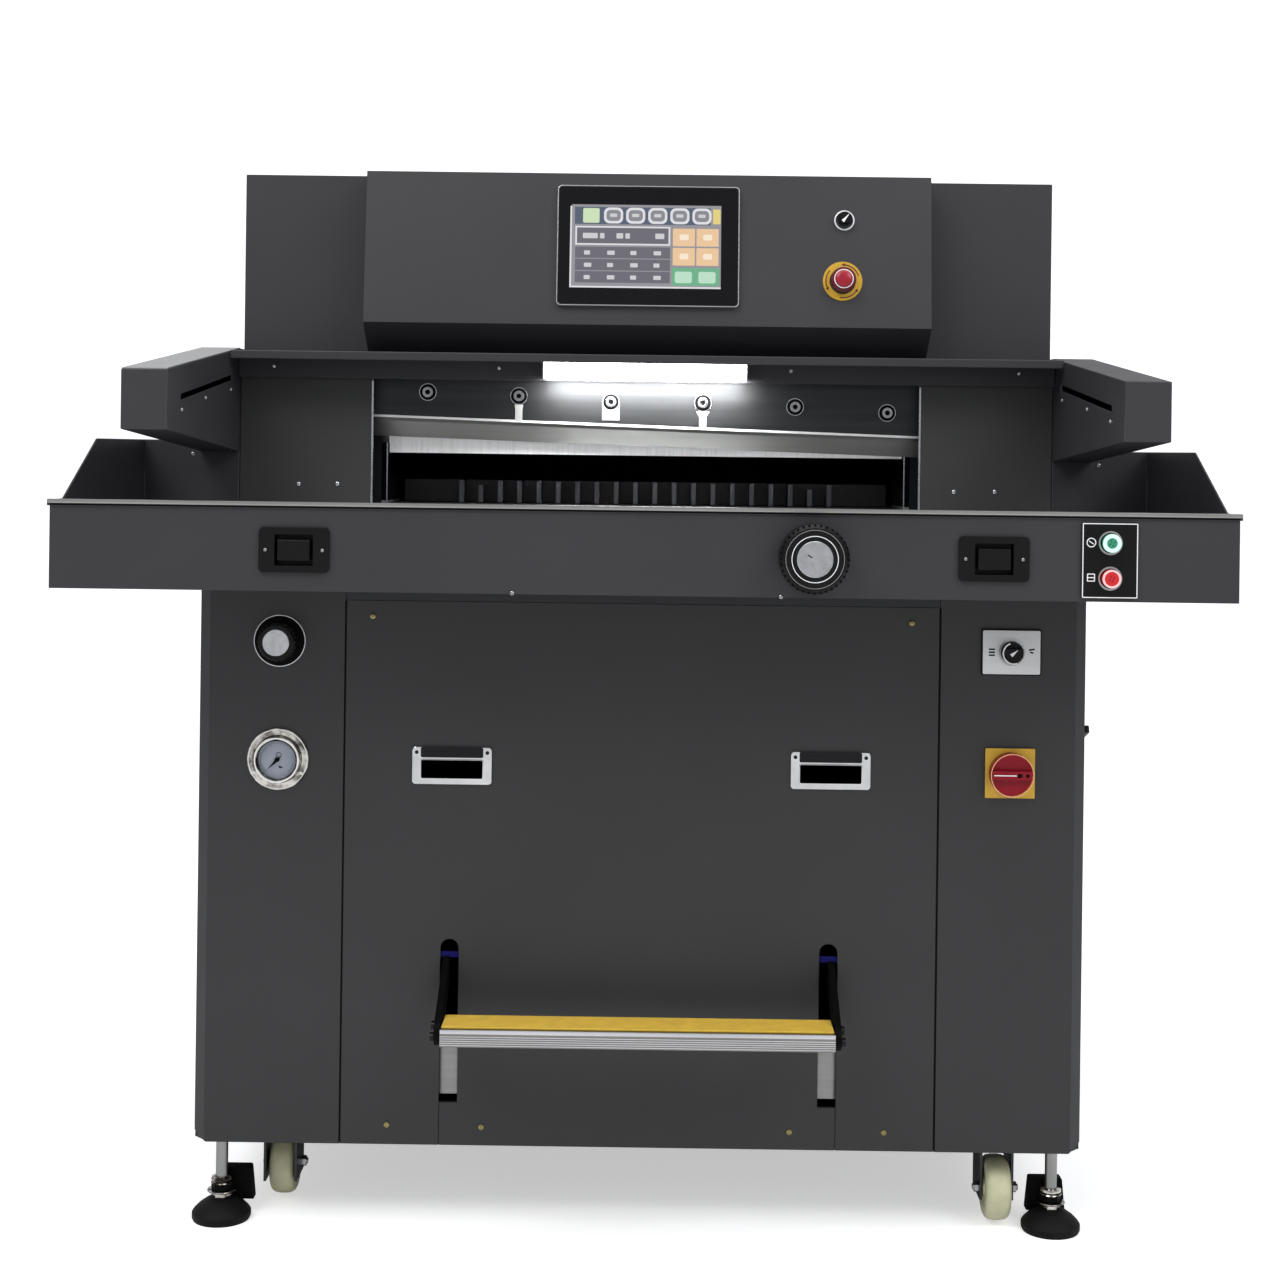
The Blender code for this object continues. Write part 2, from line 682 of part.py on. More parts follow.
def slide_place(distance):
    """A point of the knife's guide line, as (across, height), at a distance below the rest place."""
    across = KNIFE_PIN.x + math.sin(SLIDE_ANGLE) * distance
    height = KNIFE_PIN.z - math.cos(SLIDE_ANGLE) * distance
    return across, height


# Frame, table and rear table


def build_base_frame():
    side = CABINET_SIDE - SHEET - GAP
    front = CABINET_FRONT + SHEET + GAP
    rear = CABINET_REAR - SHEET - GAP
    corner = side - CORNER_CHAMFER
    outline = [(-side, rear), (-side, front + CORNER_CHAMFER), (-corner, front)]
    outline += [(corner, front), (side, front + CORNER_CHAMFER), (side, rear)]
    frame = prism("base_frame", [outline], "top", FLOOR_CLEARANCE, BASE_TOP)
    plate = side - FRAME_PLATE_INSET
    for hand in (-1, 1):
        inner = hand * (plate - FRAME_PLATE_THICKNESS)
        join(frame, box("frame_plate", (inner, front, BASE_TOP - OVERRUN), (hand * plate, rear, COVER_TOP)))
    rail_bottom = DOOR_TOP + GAP
    join(frame, box("front_rail", (-plate, front, rail_bottom), (plate, front + RAIL_THICKNESS, COVER_TOP)))
    join(frame, box("rear_rail", (-plate, rear - RAIL_THICKNESS, rail_bottom), (plate, rear, SCREW_WAY_BOTTOM)))
    strip_side = DOOR_SIDE - GAP
    join(frame, box("rail_face", (-strip_side, CABINET_FRONT, DOOR_TOP + GAP), (strip_side, front + GAP, COVER_TOP)))
    add_pedal_bearings(frame)
    for hand in (-1, 1):
        add_rear_fork(frame, hand * WHEEL_PLACE)
    return paint(frame, DARK_PAINT)


def add_pedal_bearings(frame):
    pivot = Vector(PEDAL_PIVOT)
    start = PEDAL_SIDE + PEDAL_ARM_THICKNESS + PEDAL_BEARING_INSET
    end = start + PEDAL_BEARING_THICKNESS
    half = PEDAL_BEARING_WIDTH / 2
    for hand in (-1, 1):
        low = (hand * start, pivot.y - half, BASE_TOP - OVERRUN)
        join(frame, box("pedal_bearing", low, (hand * end, pivot.y + half, pivot.z + half)))
    reach = Vector((end + OVERRUN, 0.0, 0.0))
    cut(frame, rod("pedal_bore", PEDAL_SHAFT_RADIUS + GAP, pivot - reach, pivot + reach))


def add_fork_arms(item, centre, front, rear, top, parent=None):
    """Two arms beside a wheel, with a hole for its axle, around the wheel's centre."""
    inner = WHEEL_WIDTH / 2 + FORK_SIDE_PLAY
    outer = inner + FORK_THICKNESS
    low = centre.z - FORK_ARM_WIDTH / 2
    for hand in (-1, 1):
        corner = (centre.x + hand * inner, front, low)
        join(item, box("fork_arm", corner, (centre.x + hand * outer, rear, top), parent=parent))
    reach = Vector((outer + OVERRUN, 0.0, 0.0))
    cut(item, rod("axle_hole", AXLE_RADIUS + GAP, centre - reach, centre + reach, parent=parent))


def add_rear_fork(frame, place):
    centre = Vector((place, WHEEL_REAR, AXLE_HEIGHT))
    half = FORK_ARM_WIDTH / 2
    add_fork_arms(frame, centre, WHEEL_REAR - half, WHEEL_REAR + half, FLOOR_CLEARANCE + OVERRUN)


def build_table_bed():
    side = CABINET_SIDE - GAP
    table = box("table_bed", (-side, APRON_BACK + GAP, TABLE_UNDERSIDE), (side, CABINET_REAR, TABLE_HEIGHT))
    thin = TABLE_HEIGHT - TABLE_LIP_THICKNESS
    low = (-side - OVERRUN, APRON_FRONT, TABLE_UNDERSIDE - OVERRUN)
    cut(table, box("front_overhang", low, (side + OVERRUN, CABINET_FRONT, thin)))
    groove = STICK_WIDTH / 2 + GAP
    groove_side = CUT_SIDE + GAP
    floor = TABLE_HEIGHT - STICK_DEPTH
    corner = (-groove_side, KNIFE_BACK - groove, floor)
    cut(table, box("stick_groove", corner, (groove_side, KNIFE_BACK + groove, TABLE_HEIGHT + OVERRUN)))
    slot = GAUGE_SLOT_WIDTH / 2
    start = CLAMP_FRONT + CLAMP_DEPTH
    low = (-slot, start, TABLE_UNDERSIDE - OVERRUN)
    cut(table, box("gauge_slot", low, (slot, CABINET_REAR + OVERRUN, TABLE_HEIGHT + OVERRUN)))
    add_screw_bearing(table, BEARING_START)
    return paint(table, BRUSHED_STEEL)


def add_screw_bearing(table, start):
    half = BEARING_WIDTH / 2
    low = (-half, start, SCREW_HEIGHT - BEARING_HEIGHT / 2)
    join(table, box("screw_bearing", low, (half, start + BEARING_LENGTH, TABLE_UNDERSIDE + OVERRUN)))
    bore_start = (0.0, start - OVERRUN, SCREW_HEIGHT)
    bore_end = (0.0, start + BEARING_LENGTH + OVERRUN, SCREW_HEIGHT)
    cut(table, rod("screw_bore", SCREW_RADIUS + GAP, bore_start, bore_end))


def build_cutting_stick():
    half = STICK_WIDTH / 2
    low = (-CUT_SIDE, KNIFE_BACK - half, TABLE_HEIGHT - STICK_DEPTH + GAP)
    stick = box("cutting_stick", low, (CUT_SIDE, KNIFE_BACK + half, TABLE_HEIGHT - GAP))
    return paint(stick, RED_PLASTIC)


def build_rear_table():
    start = CABINET_REAR + GAP
    side = PORTAL_INSIDE + REAR_TABLE_MARGIN
    table = box("rear_table", (-side, start, TABLE_UNDERSIDE), (side, REAR_END, TABLE_HEIGHT))
    slot = GAUGE_SLOT_WIDTH / 2
    low = (-slot, start - OVERRUN, TABLE_UNDERSIDE - OVERRUN)
    cut(table, box("rear_slot", low, (slot, REAR_END - BEARING_LENGTH, TABLE_HEIGHT + OVERRUN)))
    for hand in (-1, 1):
        inner = hand * (CUT_SIDE + GAP)
        outer = inner + hand * GUIDE_THICKNESS
        top = TABLE_HEIGHT + GUIDE_RISE
        join(table, box("side_guide", (inner, PORTAL_FRONT + GAP, TABLE_HEIGHT + GAP), (outer, REAR_END, top)))
        low = (inner, start + OVERRUN, TABLE_HEIGHT - OVERRUN)
        join(table, box("guide_foot", low, (outer, REAR_END - OVERRUN, TABLE_HEIGHT + OVERRUN)))
        place = hand * GUSSET_PLACE
        join(table, prism("gusset", [gusset_outline(start)], "side", place, place + GUSSET_THICKNESS))
    add_rear_cover(table)
    add_screw_bearing(table, REAR_END - BEARING_LENGTH)
    return paint(table, BRUSHED_STEEL)


def add_rear_cover(table):
    """A sheet over the side guides behind the portal, folded down at the rear end."""
    side = CUT_SIDE + GAP + GUIDE_THICKNESS / 2
    top = TABLE_HEIGHT + GUIDE_RISE
    low = (-side, PORTAL_REAR + GAP, top - SHEET)
    join(table, box("rear_cover", low, (side, REAR_END - SHEET / 2, top)))
    low = (-side, REAR_END - SHEET, TABLE_HEIGHT - OVERRUN)
    join(table, box("rear_wall", low, (side, REAR_END, top)))


def gusset_outline(start):
    top = TABLE_UNDERSIDE + OVERRUN
    return [(start, TABLE_UNDERSIDE - GUSSET_HEIGHT), (start + GUSSET_LENGTH, top), (start, top)]


# Portal frame, knife and clamp


def build_portal_frame():
    side = PORTAL_SIDE
    base = TABLE_HEIGHT + GAP
    outline = [(-side, base), (-PORTAL_INSIDE, base), (-PORTAL_INSIDE, BEAM_BOTTOM)]
    outline += [(PORTAL_INSIDE, BEAM_BOTTOM), (PORTAL_INSIDE, base), (side, base)]
    outline += [(side, PORTAL_TOP), (-side, PORTAL_TOP)]
    portal = prism("portal_frame", [outline], "front", PORTAL_FRONT, PORTAL_REAR)
    clamp_axis = Vector((0.0, CLAMP_FRONT + CLAMP_DEPTH / 2, BEAM_BOTTOM))
    boss_bottom = clamp_axis - Vector((0.0, 0.0, CLAMP_BOSS_DROP))
    join(portal, rod("clamp_boss", CLAMP_BOSS_RADIUS, boss_bottom, clamp_axis + Vector((0.0, 0.0, OVERRUN))))
    bore_bottom = boss_bottom - Vector((0.0, 0.0, OVERRUN))
    bore_top = Vector((0.0, clamp_axis.y, CLAMP_TOP + CLAMP_ROD_LENGTH + CLAMP_BORE_MARGIN))
    cut(portal, rod("clamp_bore", CLAMP_ROD_RADIUS + GAP, bore_bottom, bore_top))
    add_guide_slots(portal)
    return paint(portal, CAST_IRON)


def roller_places():
    """Where the roller's centre is at rest and at the end of the cut."""
    reach = ROLLER_PLACE + KNIFE_PIN_PLACE
    rest = (KNIFE_PIN.x - reach * math.cos(KNIFE_TILT), KNIFE_PIN.z + reach * math.sin(KNIFE_TILT))
    end = (KNIFE_PIN.x + KNIFE_SHIFT - reach, KNIFE_PIN.z - KNIFE_DROP)
    return rest, end


def add_guide_slots(portal):
    start = PORTAL_FRONT - OVERRUN
    end = PORTAL_FRONT + GUIDE_SLOT_DEPTH
    top = slide_place(-CYLINDER_START)
    bottom = slide_place(SLIDE_TRAVEL + GUIDE_BLOCK_LENGTH / 2 + GAP)
    block_slot = strip(top, bottom, GUIDE_BLOCK_WIDTH / 2 + GAP)
    cut(portal, prism("block_slot", [block_slot], "front", start, end))
    roller_slot = capsule(*roller_places(), ROLLER_RADIUS + ROLLER_PLAY)
    cut(portal, prism("roller_slot", [roller_slot], "front", start, end))
    channel_end = slide_place(-CYLINDER_START - CYLINDER_LENGTH - CYLINDER_RADIUS)
    channel = strip(top, channel_end, CYLINDER_RADIUS + GAP)
    channel_depth = PORTAL_FRONT + GUIDE_SLOT_DEPTH / 2 + CYLINDER_RADIUS + GAP
    cut(portal, prism("cylinder_channel", [channel], "front", start, channel_depth))


def slide_point(distance):
    """A point of the knife rod's own axis."""
    across, height = slide_place(distance)
    return Vector((across, PORTAL_FRONT + GUIDE_SLOT_DEPTH / 2, height))


def build_knife_slide():
    half = GUIDE_BLOCK_LENGTH / 2
    outline = strip(slide_place(-half), slide_place(half), GUIDE_BLOCK_WIDTH / 2)
    rear = PORTAL_FRONT + GUIDE_SLOT_DEPTH - GAP
    slide = prism("knife_slide", [outline], "front", PORTAL_FRONT, rear, origin=tuple(KNIFE_PIN))
    pin_front = KNIFE_PIN - Vector((0.0, CARRIER_THICKNESS - BLADE_THICKNESS, 0.0))
    pin_rear = KNIFE_PIN + Vector((0.0, GUIDE_SLOT_DEPTH / 2, 0.0))
    join(slide, rod("carrier_pin", KNIFE_PIN_RADIUS, pin_front, pin_rear))
    rod_end = slide_point(-CYLINDER_START - SLIDE_TRAVEL - ROD_END_MARGIN)
    join(slide, rod("piston_rod", ROD_RADIUS, slide_point(0.0), rod_end))
    return paint(slide, BRUSHED_STEEL)


def build_knife_cylinder():
    bottom = slide_point(-CYLINDER_START)
    cylinder = rod("knife_cylinder", CYLINDER_RADIUS, bottom, slide_point(-CYLINDER_START - CYLINDER_LENGTH))
    bore_end = slide_point(-CYLINDER_START - SLIDE_TRAVEL - 2 * ROD_END_MARGIN)
    cut(cylinder, rod("knife_bore", ROD_RADIUS + GAP, slide_point(OVERRUN - CYLINDER_START), bore_end))
    return paint(cylinder, BRUSHED_STEEL)


def build_knife():
    pin = panel("knife_pin", KNIFE_PIN, (0.0, KNIFE_TILT, 0.0))
    edge = -KNIFE_PIN_RISE
    bottom = edge + BLADE_SHOWN
    top = bottom + CARRIER_HEIGHT
    blade_top = edge + BLADE_HEIGHT
    rebate = -BLADE_THICKNESS - GAP
    section = [(0.0, blade_top + GAP), (0.0, top), (-CARRIER_THICKNESS, top)]
    section += [(-CARRIER_THICKNESS, bottom), (rebate, bottom), (rebate, blade_top + GAP)]
    left = -CARRIER_LEFT - KNIFE_PIN_PLACE
    carrier = prism("knife_carrier", [section], "side", left, CARRIER_RIGHT - KNIFE_PIN_PLACE, parent=pin)
    hole_end = (0.0, BLADE_THICKNESS - CARRIER_THICKNESS - GAP, 0.0)
    cut(carrier, rod("pin_hole", KNIFE_PIN_RADIUS + GAP, hole_end, (0.0, OVERRUN, 0.0), parent=pin))
    place = -ROLLER_PLACE - KNIFE_PIN_PLACE
    roller_end = (place, KNIFE_BACK_GAP + GUIDE_SLOT_DEPTH - GAP, 0.0)
    join(carrier, rod("guide_roller", ROLLER_RADIUS, (place, -OVERRUN, 0.0), roller_end, parent=pin))
    section = [(0.0, edge), (0.0, blade_top), (-BLADE_THICKNESS, blade_top), (-BLADE_THICKNESS, edge + BLADE_BEVEL)]
    start = -BLADE_LEFT - KNIFE_PIN_PLACE
    blade = prism("knife_blade", [section], "side", start, BLADE_RIGHT - KNIFE_PIN_PLACE, parent=pin)
    paint(carrier, DARK_PAINT)
    paint(blade, BRUSHED_STEEL)


def build_clamp_beam():
    side = CUT_SIDE - CLAMP_SIDE_PLAY
    rear = CLAMP_FRONT + CLAMP_DEPTH
    beam = box("clamp_beam", (-side, CLAMP_FRONT, CLAMP_BOTTOM), (side, rear, CLAMP_TOP))
    slot_width = GAUGE_TOOTH_WIDTH + 2 * GAUGE_SLOT_PLAY
    slot_front = rear - GAUGE_TOOTH_LENGTH
    slot_top = CLAMP_BOTTOM + GAUGE_HEIGHT + GAUGE_FLOAT + GAUGE_SLOT_PLAY
    low = CLAMP_BOTTOM - OVERRUN
    cut(beam, finger_row("finger_slots", slot_front, rear + OVERRUN, slot_width, low, slot_top))
    axis = Vector((0.0, CLAMP_FRONT + CLAMP_DEPTH / 2, CLAMP_TOP - OVERRUN))
    join(beam, rod("clamp_rod", CLAMP_ROD_RADIUS, axis, axis + Vector((0.0, 0.0, OVERRUN + CLAMP_ROD_LENGTH))))
    return paint(beam, BRUSHED_STEEL)


# Back gauge and lead screw


def build_back_gauge():
    bottom = TABLE_HEIGHT + GAUGE_FLOAT
    top = bottom + GAUGE_HEIGHT
    side = GAUGE_SIDE
    gauge = box("back_gauge", (-side, GAUGE_BODY_FRONT, bottom), (side, GAUGE_BODY_REAR, top))
    root = GAUGE_BODY_FRONT + OVERRUN
    join(gauge, finger_row("fingers", GAUGE_FRONT, root, GAUGE_TOOTH_WIDTH, bottom, top))
    for tooth in (1, GAUGE_TOOTH_COUNT - 2):
        left = tooth_centre(tooth) - GAUGE_TOOTH_WIDTH
        low = (left, GAUGE_FRONT - OVERRUN, top - GAUGE_SHORT_CUT)
        high = (left + 2 * GAUGE_TOOTH_WIDTH, GAUGE_BODY_FRONT - GAP, top + OVERRUN)
        cut(gauge, box("short_finger", low, high))
    half = TONGUE_WIDTH / 2
    nut_top = SCREW_HEIGHT + NUT_HEIGHT / 2
    front = GAUGE_BODY_FRONT + GAP
    rear = GAUGE_BODY_REAR - GAP
    join(gauge, box("tongue", (-half, front, nut_top - OVERRUN), (half, rear, bottom + OVERRUN)))
    side = NUT_WIDTH / 2
    join(gauge, box("screw_nut", (-side, front, SCREW_HEIGHT - NUT_HEIGHT / 2), (side, rear, nut_top)))
    bore_start = (0.0, front - OVERRUN, SCREW_HEIGHT)
    cut(gauge, rod("nut_bore", SCREW_RADIUS + GAP, bore_start, (0.0, rear + OVERRUN, SCREW_HEIGHT)))
    return paint(gauge, ALUMINIUM)


def build_lead_screw():
    start = (0.0, BEARING_START - OVERRUN, SCREW_HEIGHT)
    end = (0.0, REAR_END - GAP, SCREW_HEIGHT)
    return paint(rod("lead_screw", SCREW_RADIUS, start, end), BRUSHED_STEEL)


# Apron and side tables


def build_apron():
    rim_bottom = RIM_TOP - RIM_HEIGHT
    apron = box("front_apron", (-TABLE_SIDE, APRON_FRONT, APRON_BOTTOM), (TABLE_SIDE, APRON_BACK, rim_bottom + GAP))
    rim_side = TABLE_SIDE + RIM_OVERHANG
    join(apron, box("rim", (-rim_side, APRON_FRONT - RIM_LIP, rim_bottom), (rim_side, APRON_BACK, RIM_TOP)))
    flange_side = WING_SIDE - SHEET - GAP
    flange_rear = APRON_BACK + APRON_FLANGE
    low = (-flange_side, APRON_FRONT + SHEET / 2, APRON_BOTTOM)
    join(apron, box("flange", low, (flange_side, flange_rear, APRON_BOTTOM + SHEET)))
    width = CUT_WINDOW_WIDTH + 2 * SHEET + 2 * GAP
    height = CUT_WINDOW_HEIGHT + 2 * SHEET + 2 * GAP
    for hand in (-1, 1):
        low = (hand * CUT_BUTTON_PLACE - width / 2, -CUT_BUTTON_DROP - height / 2, -SHEET - OVERRUN)
        high = (hand * CUT_BUTTON_PLACE + width / 2, -CUT_BUTTON_DROP + height / 2, OVERRUN)
        cut(apron, box("module_window", low, high, parent=APRON_PANEL))
    stem_hole(apron, APRON_PANEL, HANDWHEEL_PLACE, -HANDWHEEL_DROP, STEM_RADIUS)
    for height in push_heights():
        stem_hole(apron, APRON_PANEL, PUSH_PLACE, height, STEM_RADIUS)
    return paint(apron, CHARCOAL_PAINT)


def push_heights():
    return -PUSH_PLATE_DROP + PUSH_SPACING / 2, -PUSH_PLATE_DROP - PUSH_SPACING / 2


def build_side_table(name, hand):
    inner = hand * (CABINET_SIDE + GAP)
    outer = hand * WING_SIDE
    front = APRON_BACK + GAP
    table = box(name, (inner, front, TABLE_HEIGHT - SHEET), (outer, CHEEK_FRONT, TABLE_HEIGHT))
    back = CHEEK_FRONT + SHEET
    join(table, box("back_wall", (inner, CHEEK_FRONT - GAP, APRON_BOTTOM), (outer, back, WING_TOP)))
    slant_start = CHEEK_FRONT - WING_LEVEL_LENGTH
    slant_end = slant_start - WING_SLANT_LENGTH
    outline = [(front, APRON_BOTTOM), (back, APRON_BOTTOM), (back, WING_TOP), (slant_start, WING_TOP)]
    outline += [(slant_end, RIM_TOP), (front, RIM_TOP)]
    join(table, prism("wing", [outline], "side", outer - hand * SHEET, outer))
    return paint(table, CHARCOAL_PAINT)


# Cabinet covers


def build_side_cover(name, hand):
    inner = hand * (DOOR_SIDE + GAP)
    side = hand * CABINET_SIDE
    corner = side - hand * CORNER_CHAMFER
    path = [(inner, CABINET_FRONT), (corner, CABINET_FRONT)]
    path += [(side, CABINET_FRONT + CORNER_CHAMFER), (side, CABINET_REAR)]
    if hand < 0:
        path.reverse()
    cover = prism(name, [folded(path)], "top", FLOOR_CLEARANCE, COVER_TOP)
    low = FLOOR_CLEARANCE - OVERRUN
    beyond = side + hand * OVERRUN
    slope = BOTTOM_CHAMFER_HEIGHT / BOTTOM_CHAMFER_WIDTH
    top = FLOOR_CLEARANCE + BOTTOM_CHAMFER_HEIGHT + OVERRUN * slope
    start = side - hand * (BOTTOM_CHAMFER_WIDTH + OVERRUN / slope)
    tool = prism("bottom_chamfer", [[(start, low), (beyond, low), (beyond, top)]], "front",
                 CABINET_FRONT - OVERRUN, CABINET_FRONT + CORNER_CHAMFER + OVERRUN)
    return cut(cover, tool)


def build_side_covers():
    left = build_side_cover("left_side_cover", -1)
    stem_hole(left, CABINET_PANEL, -PRESSURE_PLACE, PRESSURE_HEIGHT, STEM_RADIUS)
    stem_hole(left, CABINET_PANEL, -PRESSURE_PLACE, GAUGE_DIAL_HEIGHT, GAUGE_CASE_RADIUS)
    right = build_side_cover("right_side_cover", 1)
    selector = rounded(SELECTOR_PLATE_WIDTH, SELECTOR_PLATE_HEIGHT, SHEET, (SWITCH_PLACE, SELECTOR_HEIGHT))
    main = rounded(MAIN_PLATE_SIZE, MAIN_PLATE_SIZE, SHEET, (SWITCH_PLACE, MAIN_SWITCH_HEIGHT))
    for name, outline in (("selector_plate", selector), ("main_plate", main)):
        join(right, prism(name, [outline], "top", -SHEET / 2, SWITCH_PLATE_THICKNESS, parent=CABINET_PANEL))
    for height in (SELECTOR_HEIGHT, MAIN_SWITCH_HEIGHT):
        stem_hole(right, CABINET_PANEL, SWITCH_PLACE, height, STEM_RADIUS)
    latch = Vector((CABINET_SIDE, CABINET_FRONT + LATCH_BACK, LATCH_HEIGHT))
    reach = Vector((SHEET + OVERRUN, 0.0, 0.0))
    cut(right, rod("latch_hole", STEM_RADIUS + GAP, latch - reach, latch + reach))
    paint(left, CHARCOAL_PAINT)
    paint(right, CHARCOAL_PAINT)


def build_rear_panel():
    side = CABINET_SIDE - SHEET - GAP
    low = (-side, CABINET_REAR - SHEET, FLOOR_CLEARANCE)
    rear = box("rear_panel", low, (side, CABINET_REAR, COVER_TOP))
    half = BEARING_WIDTH / 2
    low = (-half, CABINET_REAR - SHEET - OVERRUN, SCREW_WAY_BOTTOM)
    cut(rear, box("screw_way", low, (half, CABINET_REAR + OVERRUN, COVER_TOP + OVERRUN)))
    return paint(rear, CHARCOAL_PAINT)


def slot_arc(place):
    """The round top of a pedal slot, from its right side to its left."""
    radius = SLOT_WIDTH / 2
    return arc((place, SLOT_TOP - radius), radius, 180.0, 0.0, ROUND_STEPS // 2)


def build_door():
    side = DOOR_SIDE - GAP
    outer = SLOT_CENTRE + SLOT_WIDTH / 2
    outline = [(-side, FLOOR_CLEARANCE), (-outer, FLOOR_CLEARANCE)] + slot_arc(-SLOT_CENTRE)
    outline += [(-outer + SLOT_WIDTH, LOWER_PANEL_TOP), (outer - SLOT_WIDTH, LOWER_PANEL_TOP)]
    outline += slot_arc(SLOT_CENTRE) + [(outer, FLOOR_CLEARANCE), (side, FLOOR_CLEARANCE)]
    outline += [(side, DOOR_TOP), (-side, DOOR_TOP)]
    width = HANDLE_CUP_WIDTH / 2 + SHEET + GAP
    height = HANDLE_CUP_TALL / 2 + SHEET + GAP
    holes = []
    for hand in (-1, 1):
        place = hand * HANDLE_PLACE
        middle = HANDLE_HEIGHT - HANDLE_CUP_DROP
        holes.append(rectangle((place - width, middle - height), (place + width, middle + height)))
    door = prism("centre_door", [outline] + holes, "front", CABINET_FRONT, CABINET_FRONT + SHEET)
    return paint(door, CHARCOAL_PAINT)


def build_lower_panel():
    outer = SLOT_CENTRE + SLOT_WIDTH / 2 - GAP
    inner = SLOT_CENTRE - SLOT_WIDTH / 2 - GAP
    top = LOWER_PANEL_TOP - GAP
    outline = [(-outer, FLOOR_CLEARANCE), (outer, FLOOR_CLEARANCE), (outer, SLOT_BOTTOM), (inner, SLOT_BOTTOM)]
    outline += [(inner, top), (-inner, top), (-inner, SLOT_BOTTOM), (-outer, SLOT_BOTTOM)]
    lower = prism("lower_panel", [outline], "front", CABINET_FRONT, CABINET_FRONT + SHEET)
    return paint(lower, CHARCOAL_PAINT)


def build_power_pack():
    front = CABINET_FRONT + TANK_SETBACK
    side = TANK_WIDTH / 2
    top = BASE_TOP + GAP + TANK_HEIGHT
    bottom = BASE_TOP + GAP
    rear = front + TANK_DEPTH
    pack = box("power_pack", (-side, front, bottom), (side, rear, top))
    low = (TANK_WALL - side, front + TANK_WALL, bottom + TANK_WALL)
    cut(pack, box("tank_space", low, (side - TANK_WALL, rear - TANK_WALL, top - TANK_WALL)))
    filler = (side - FILLER_INSET, front + FILLER_INSET)
    cut(pack, rod("filler_hole", FILLER_RADIUS, (*filler, top - TANK_WALL - OVERRUN), (*filler, top + OVERRUN)))
    middle = front + TANK_DEPTH / 2
    axis = top + MOTOR_FOOT_HEIGHT + MOTOR_RADIUS / 2
    foot = MOTOR_FOOT_WIDTH / 2
    join(pack, box("motor_foot", (-foot, middle - foot, top - OVERRUN), (foot, middle + foot, axis)))
    start = -MOTOR_LENGTH / 2
    end = start + MOTOR_LENGTH
    join(pack, rod("motor", MOTOR_RADIUS, (start, middle, axis), (end, middle, axis)))
    pump_end = (end + PUMP_LENGTH, middle, axis)
    join(pack, rod("pump", PUMP_RADIUS, (end - OVERRUN, middle, axis), pump_end))
    return paint(pack, BLUE_PAINT)


# Head


def build_cheek(name, hand):
    mouth = hand * MOUTH_SIDE
    side = hand * CABINET_SIDE
    path = [(mouth, CHEEK_FRONT + JAMB_DEPTH), (mouth, CHEEK_FRONT), (side, CHEEK_FRONT)]
    path += [(side, CASING_REAR), (side - hand * CHEEK_REAR_RETURN, CASING_REAR)]
    if hand < 0:
        path.reverse()
    return paint(prism(name, [folded(path)], "top", TABLE_HEIGHT + GAP, CHEEK_TOP), CHARCOAL_PAINT)


def build_upper_casing():
    casing = box("upper_casing", (-CABINET_SIDE, CASING_FRONT, CASING_BOTTOM), (CABINET_SIDE, CASING_REAR, HEAD_TOP))
    shape = bmesh.new()
    shape.from_mesh(casing.data)
    underside = [face for face in shape.faces if face.normal.z < -0.5]
    bmesh.ops.delete(shape, geom=underside, context="FACES_ONLY")
    shape.to_mesh(casing.data)
    shape.free()
    wall = casing.modifiers.new("wall", "SOLIDIFY")
    wall.thickness = SHEET
    wall.offset = -1.0
    wall.use_even_offset = True
    half = CASING_WINDOW_WIDTH / 2
    low = (-half, CASING_FRONT - OVERRUN, LEDGE_TOP + CASING_WINDOW_MARGIN)
    high = (half, CASING_FRONT + SHEET + OVERRUN, HEAD_TOP - CASING_WINDOW_MARGIN)
    cut(casing, box("console_window", low, high))
    return paint(casing, CHARCOAL_PAINT)


def console_path():
    """The console's section from its back lower edge round the face to its back upper edge."""
    back = CASING_FRONT - GAP
    face = CONSOLE_FACE_BOTTOM
    chin = TABLE_HEIGHT + CONSOLE_BACK_RISE
    top_front = face.y + CONSOLE_FACE_LEAN
    return [(back, HEAD_TOP), (top_front, HEAD_TOP), (face.y, face.z), (face.y + CONSOLE_CHIN_DEPTH, chin), (back, chin)]


def build_console():
    path = console_path()
    console = prism("console_housing", [path], "side", -CONSOLE_SIDE, CONSOLE_SIDE)
    inner = offset_path(path, SHEET)
    beyond = Vector((OVERRUN, 0.0))
    hollow = [tuple(inner[0] + beyond)] + [tuple(point) for point in inner[1:-1]] + [tuple(inner[-1] + beyond)]
    side = CONSOLE_SIDE - SHEET
    cut(console, prism("console_hollow", [hollow], "side", -side, side))
    stem_hole(console, CONSOLE_PANEL, KEY_PLACE, KEY_HEIGHT_UP, STEM_RADIUS)
    stem_hole(console, CONSOLE_PANEL, ESTOP_PLACE, ESTOP_HEIGHT_UP, STEM_RADIUS)
    return paint(console, CHARCOAL_PAINT)


def build_ledge():
    back = CASING_FRONT - GAP
    bottom = CHEEK_TOP + GAP
    path = [(back, LEDGE_TOP), (LEDGE_FRONT, LEDGE_TOP), (LEDGE_FRONT, bottom)]
    ledge = prism("ledge_cover", [folded(path)], "side", -CABINET_SIDE, CABINET_SIDE)
    low = (-CABINET_SIDE, RAIL_FRONT, CHEEK_TOP - LEDGE_RAIL_HEIGHT)
    join(ledge, box("lamp_rail", low, (CABINET_SIDE, CHEEK_FRONT - GAP, LEDGE_TOP - SHEET / 2)))
    return paint(ledge, CHARCOAL_PAINT)


def build_lamp():
    half = LAMP_WIDTH / 2
    back = RAIL_FRONT - GAP
    top = LEDGE_TOP - SHEET - GAP
    return paint(box("lamp", (-half, back - LAMP_DEPTH, top - LAMP_HEIGHT), (half, back, top)), WHITE_PLASTIC)


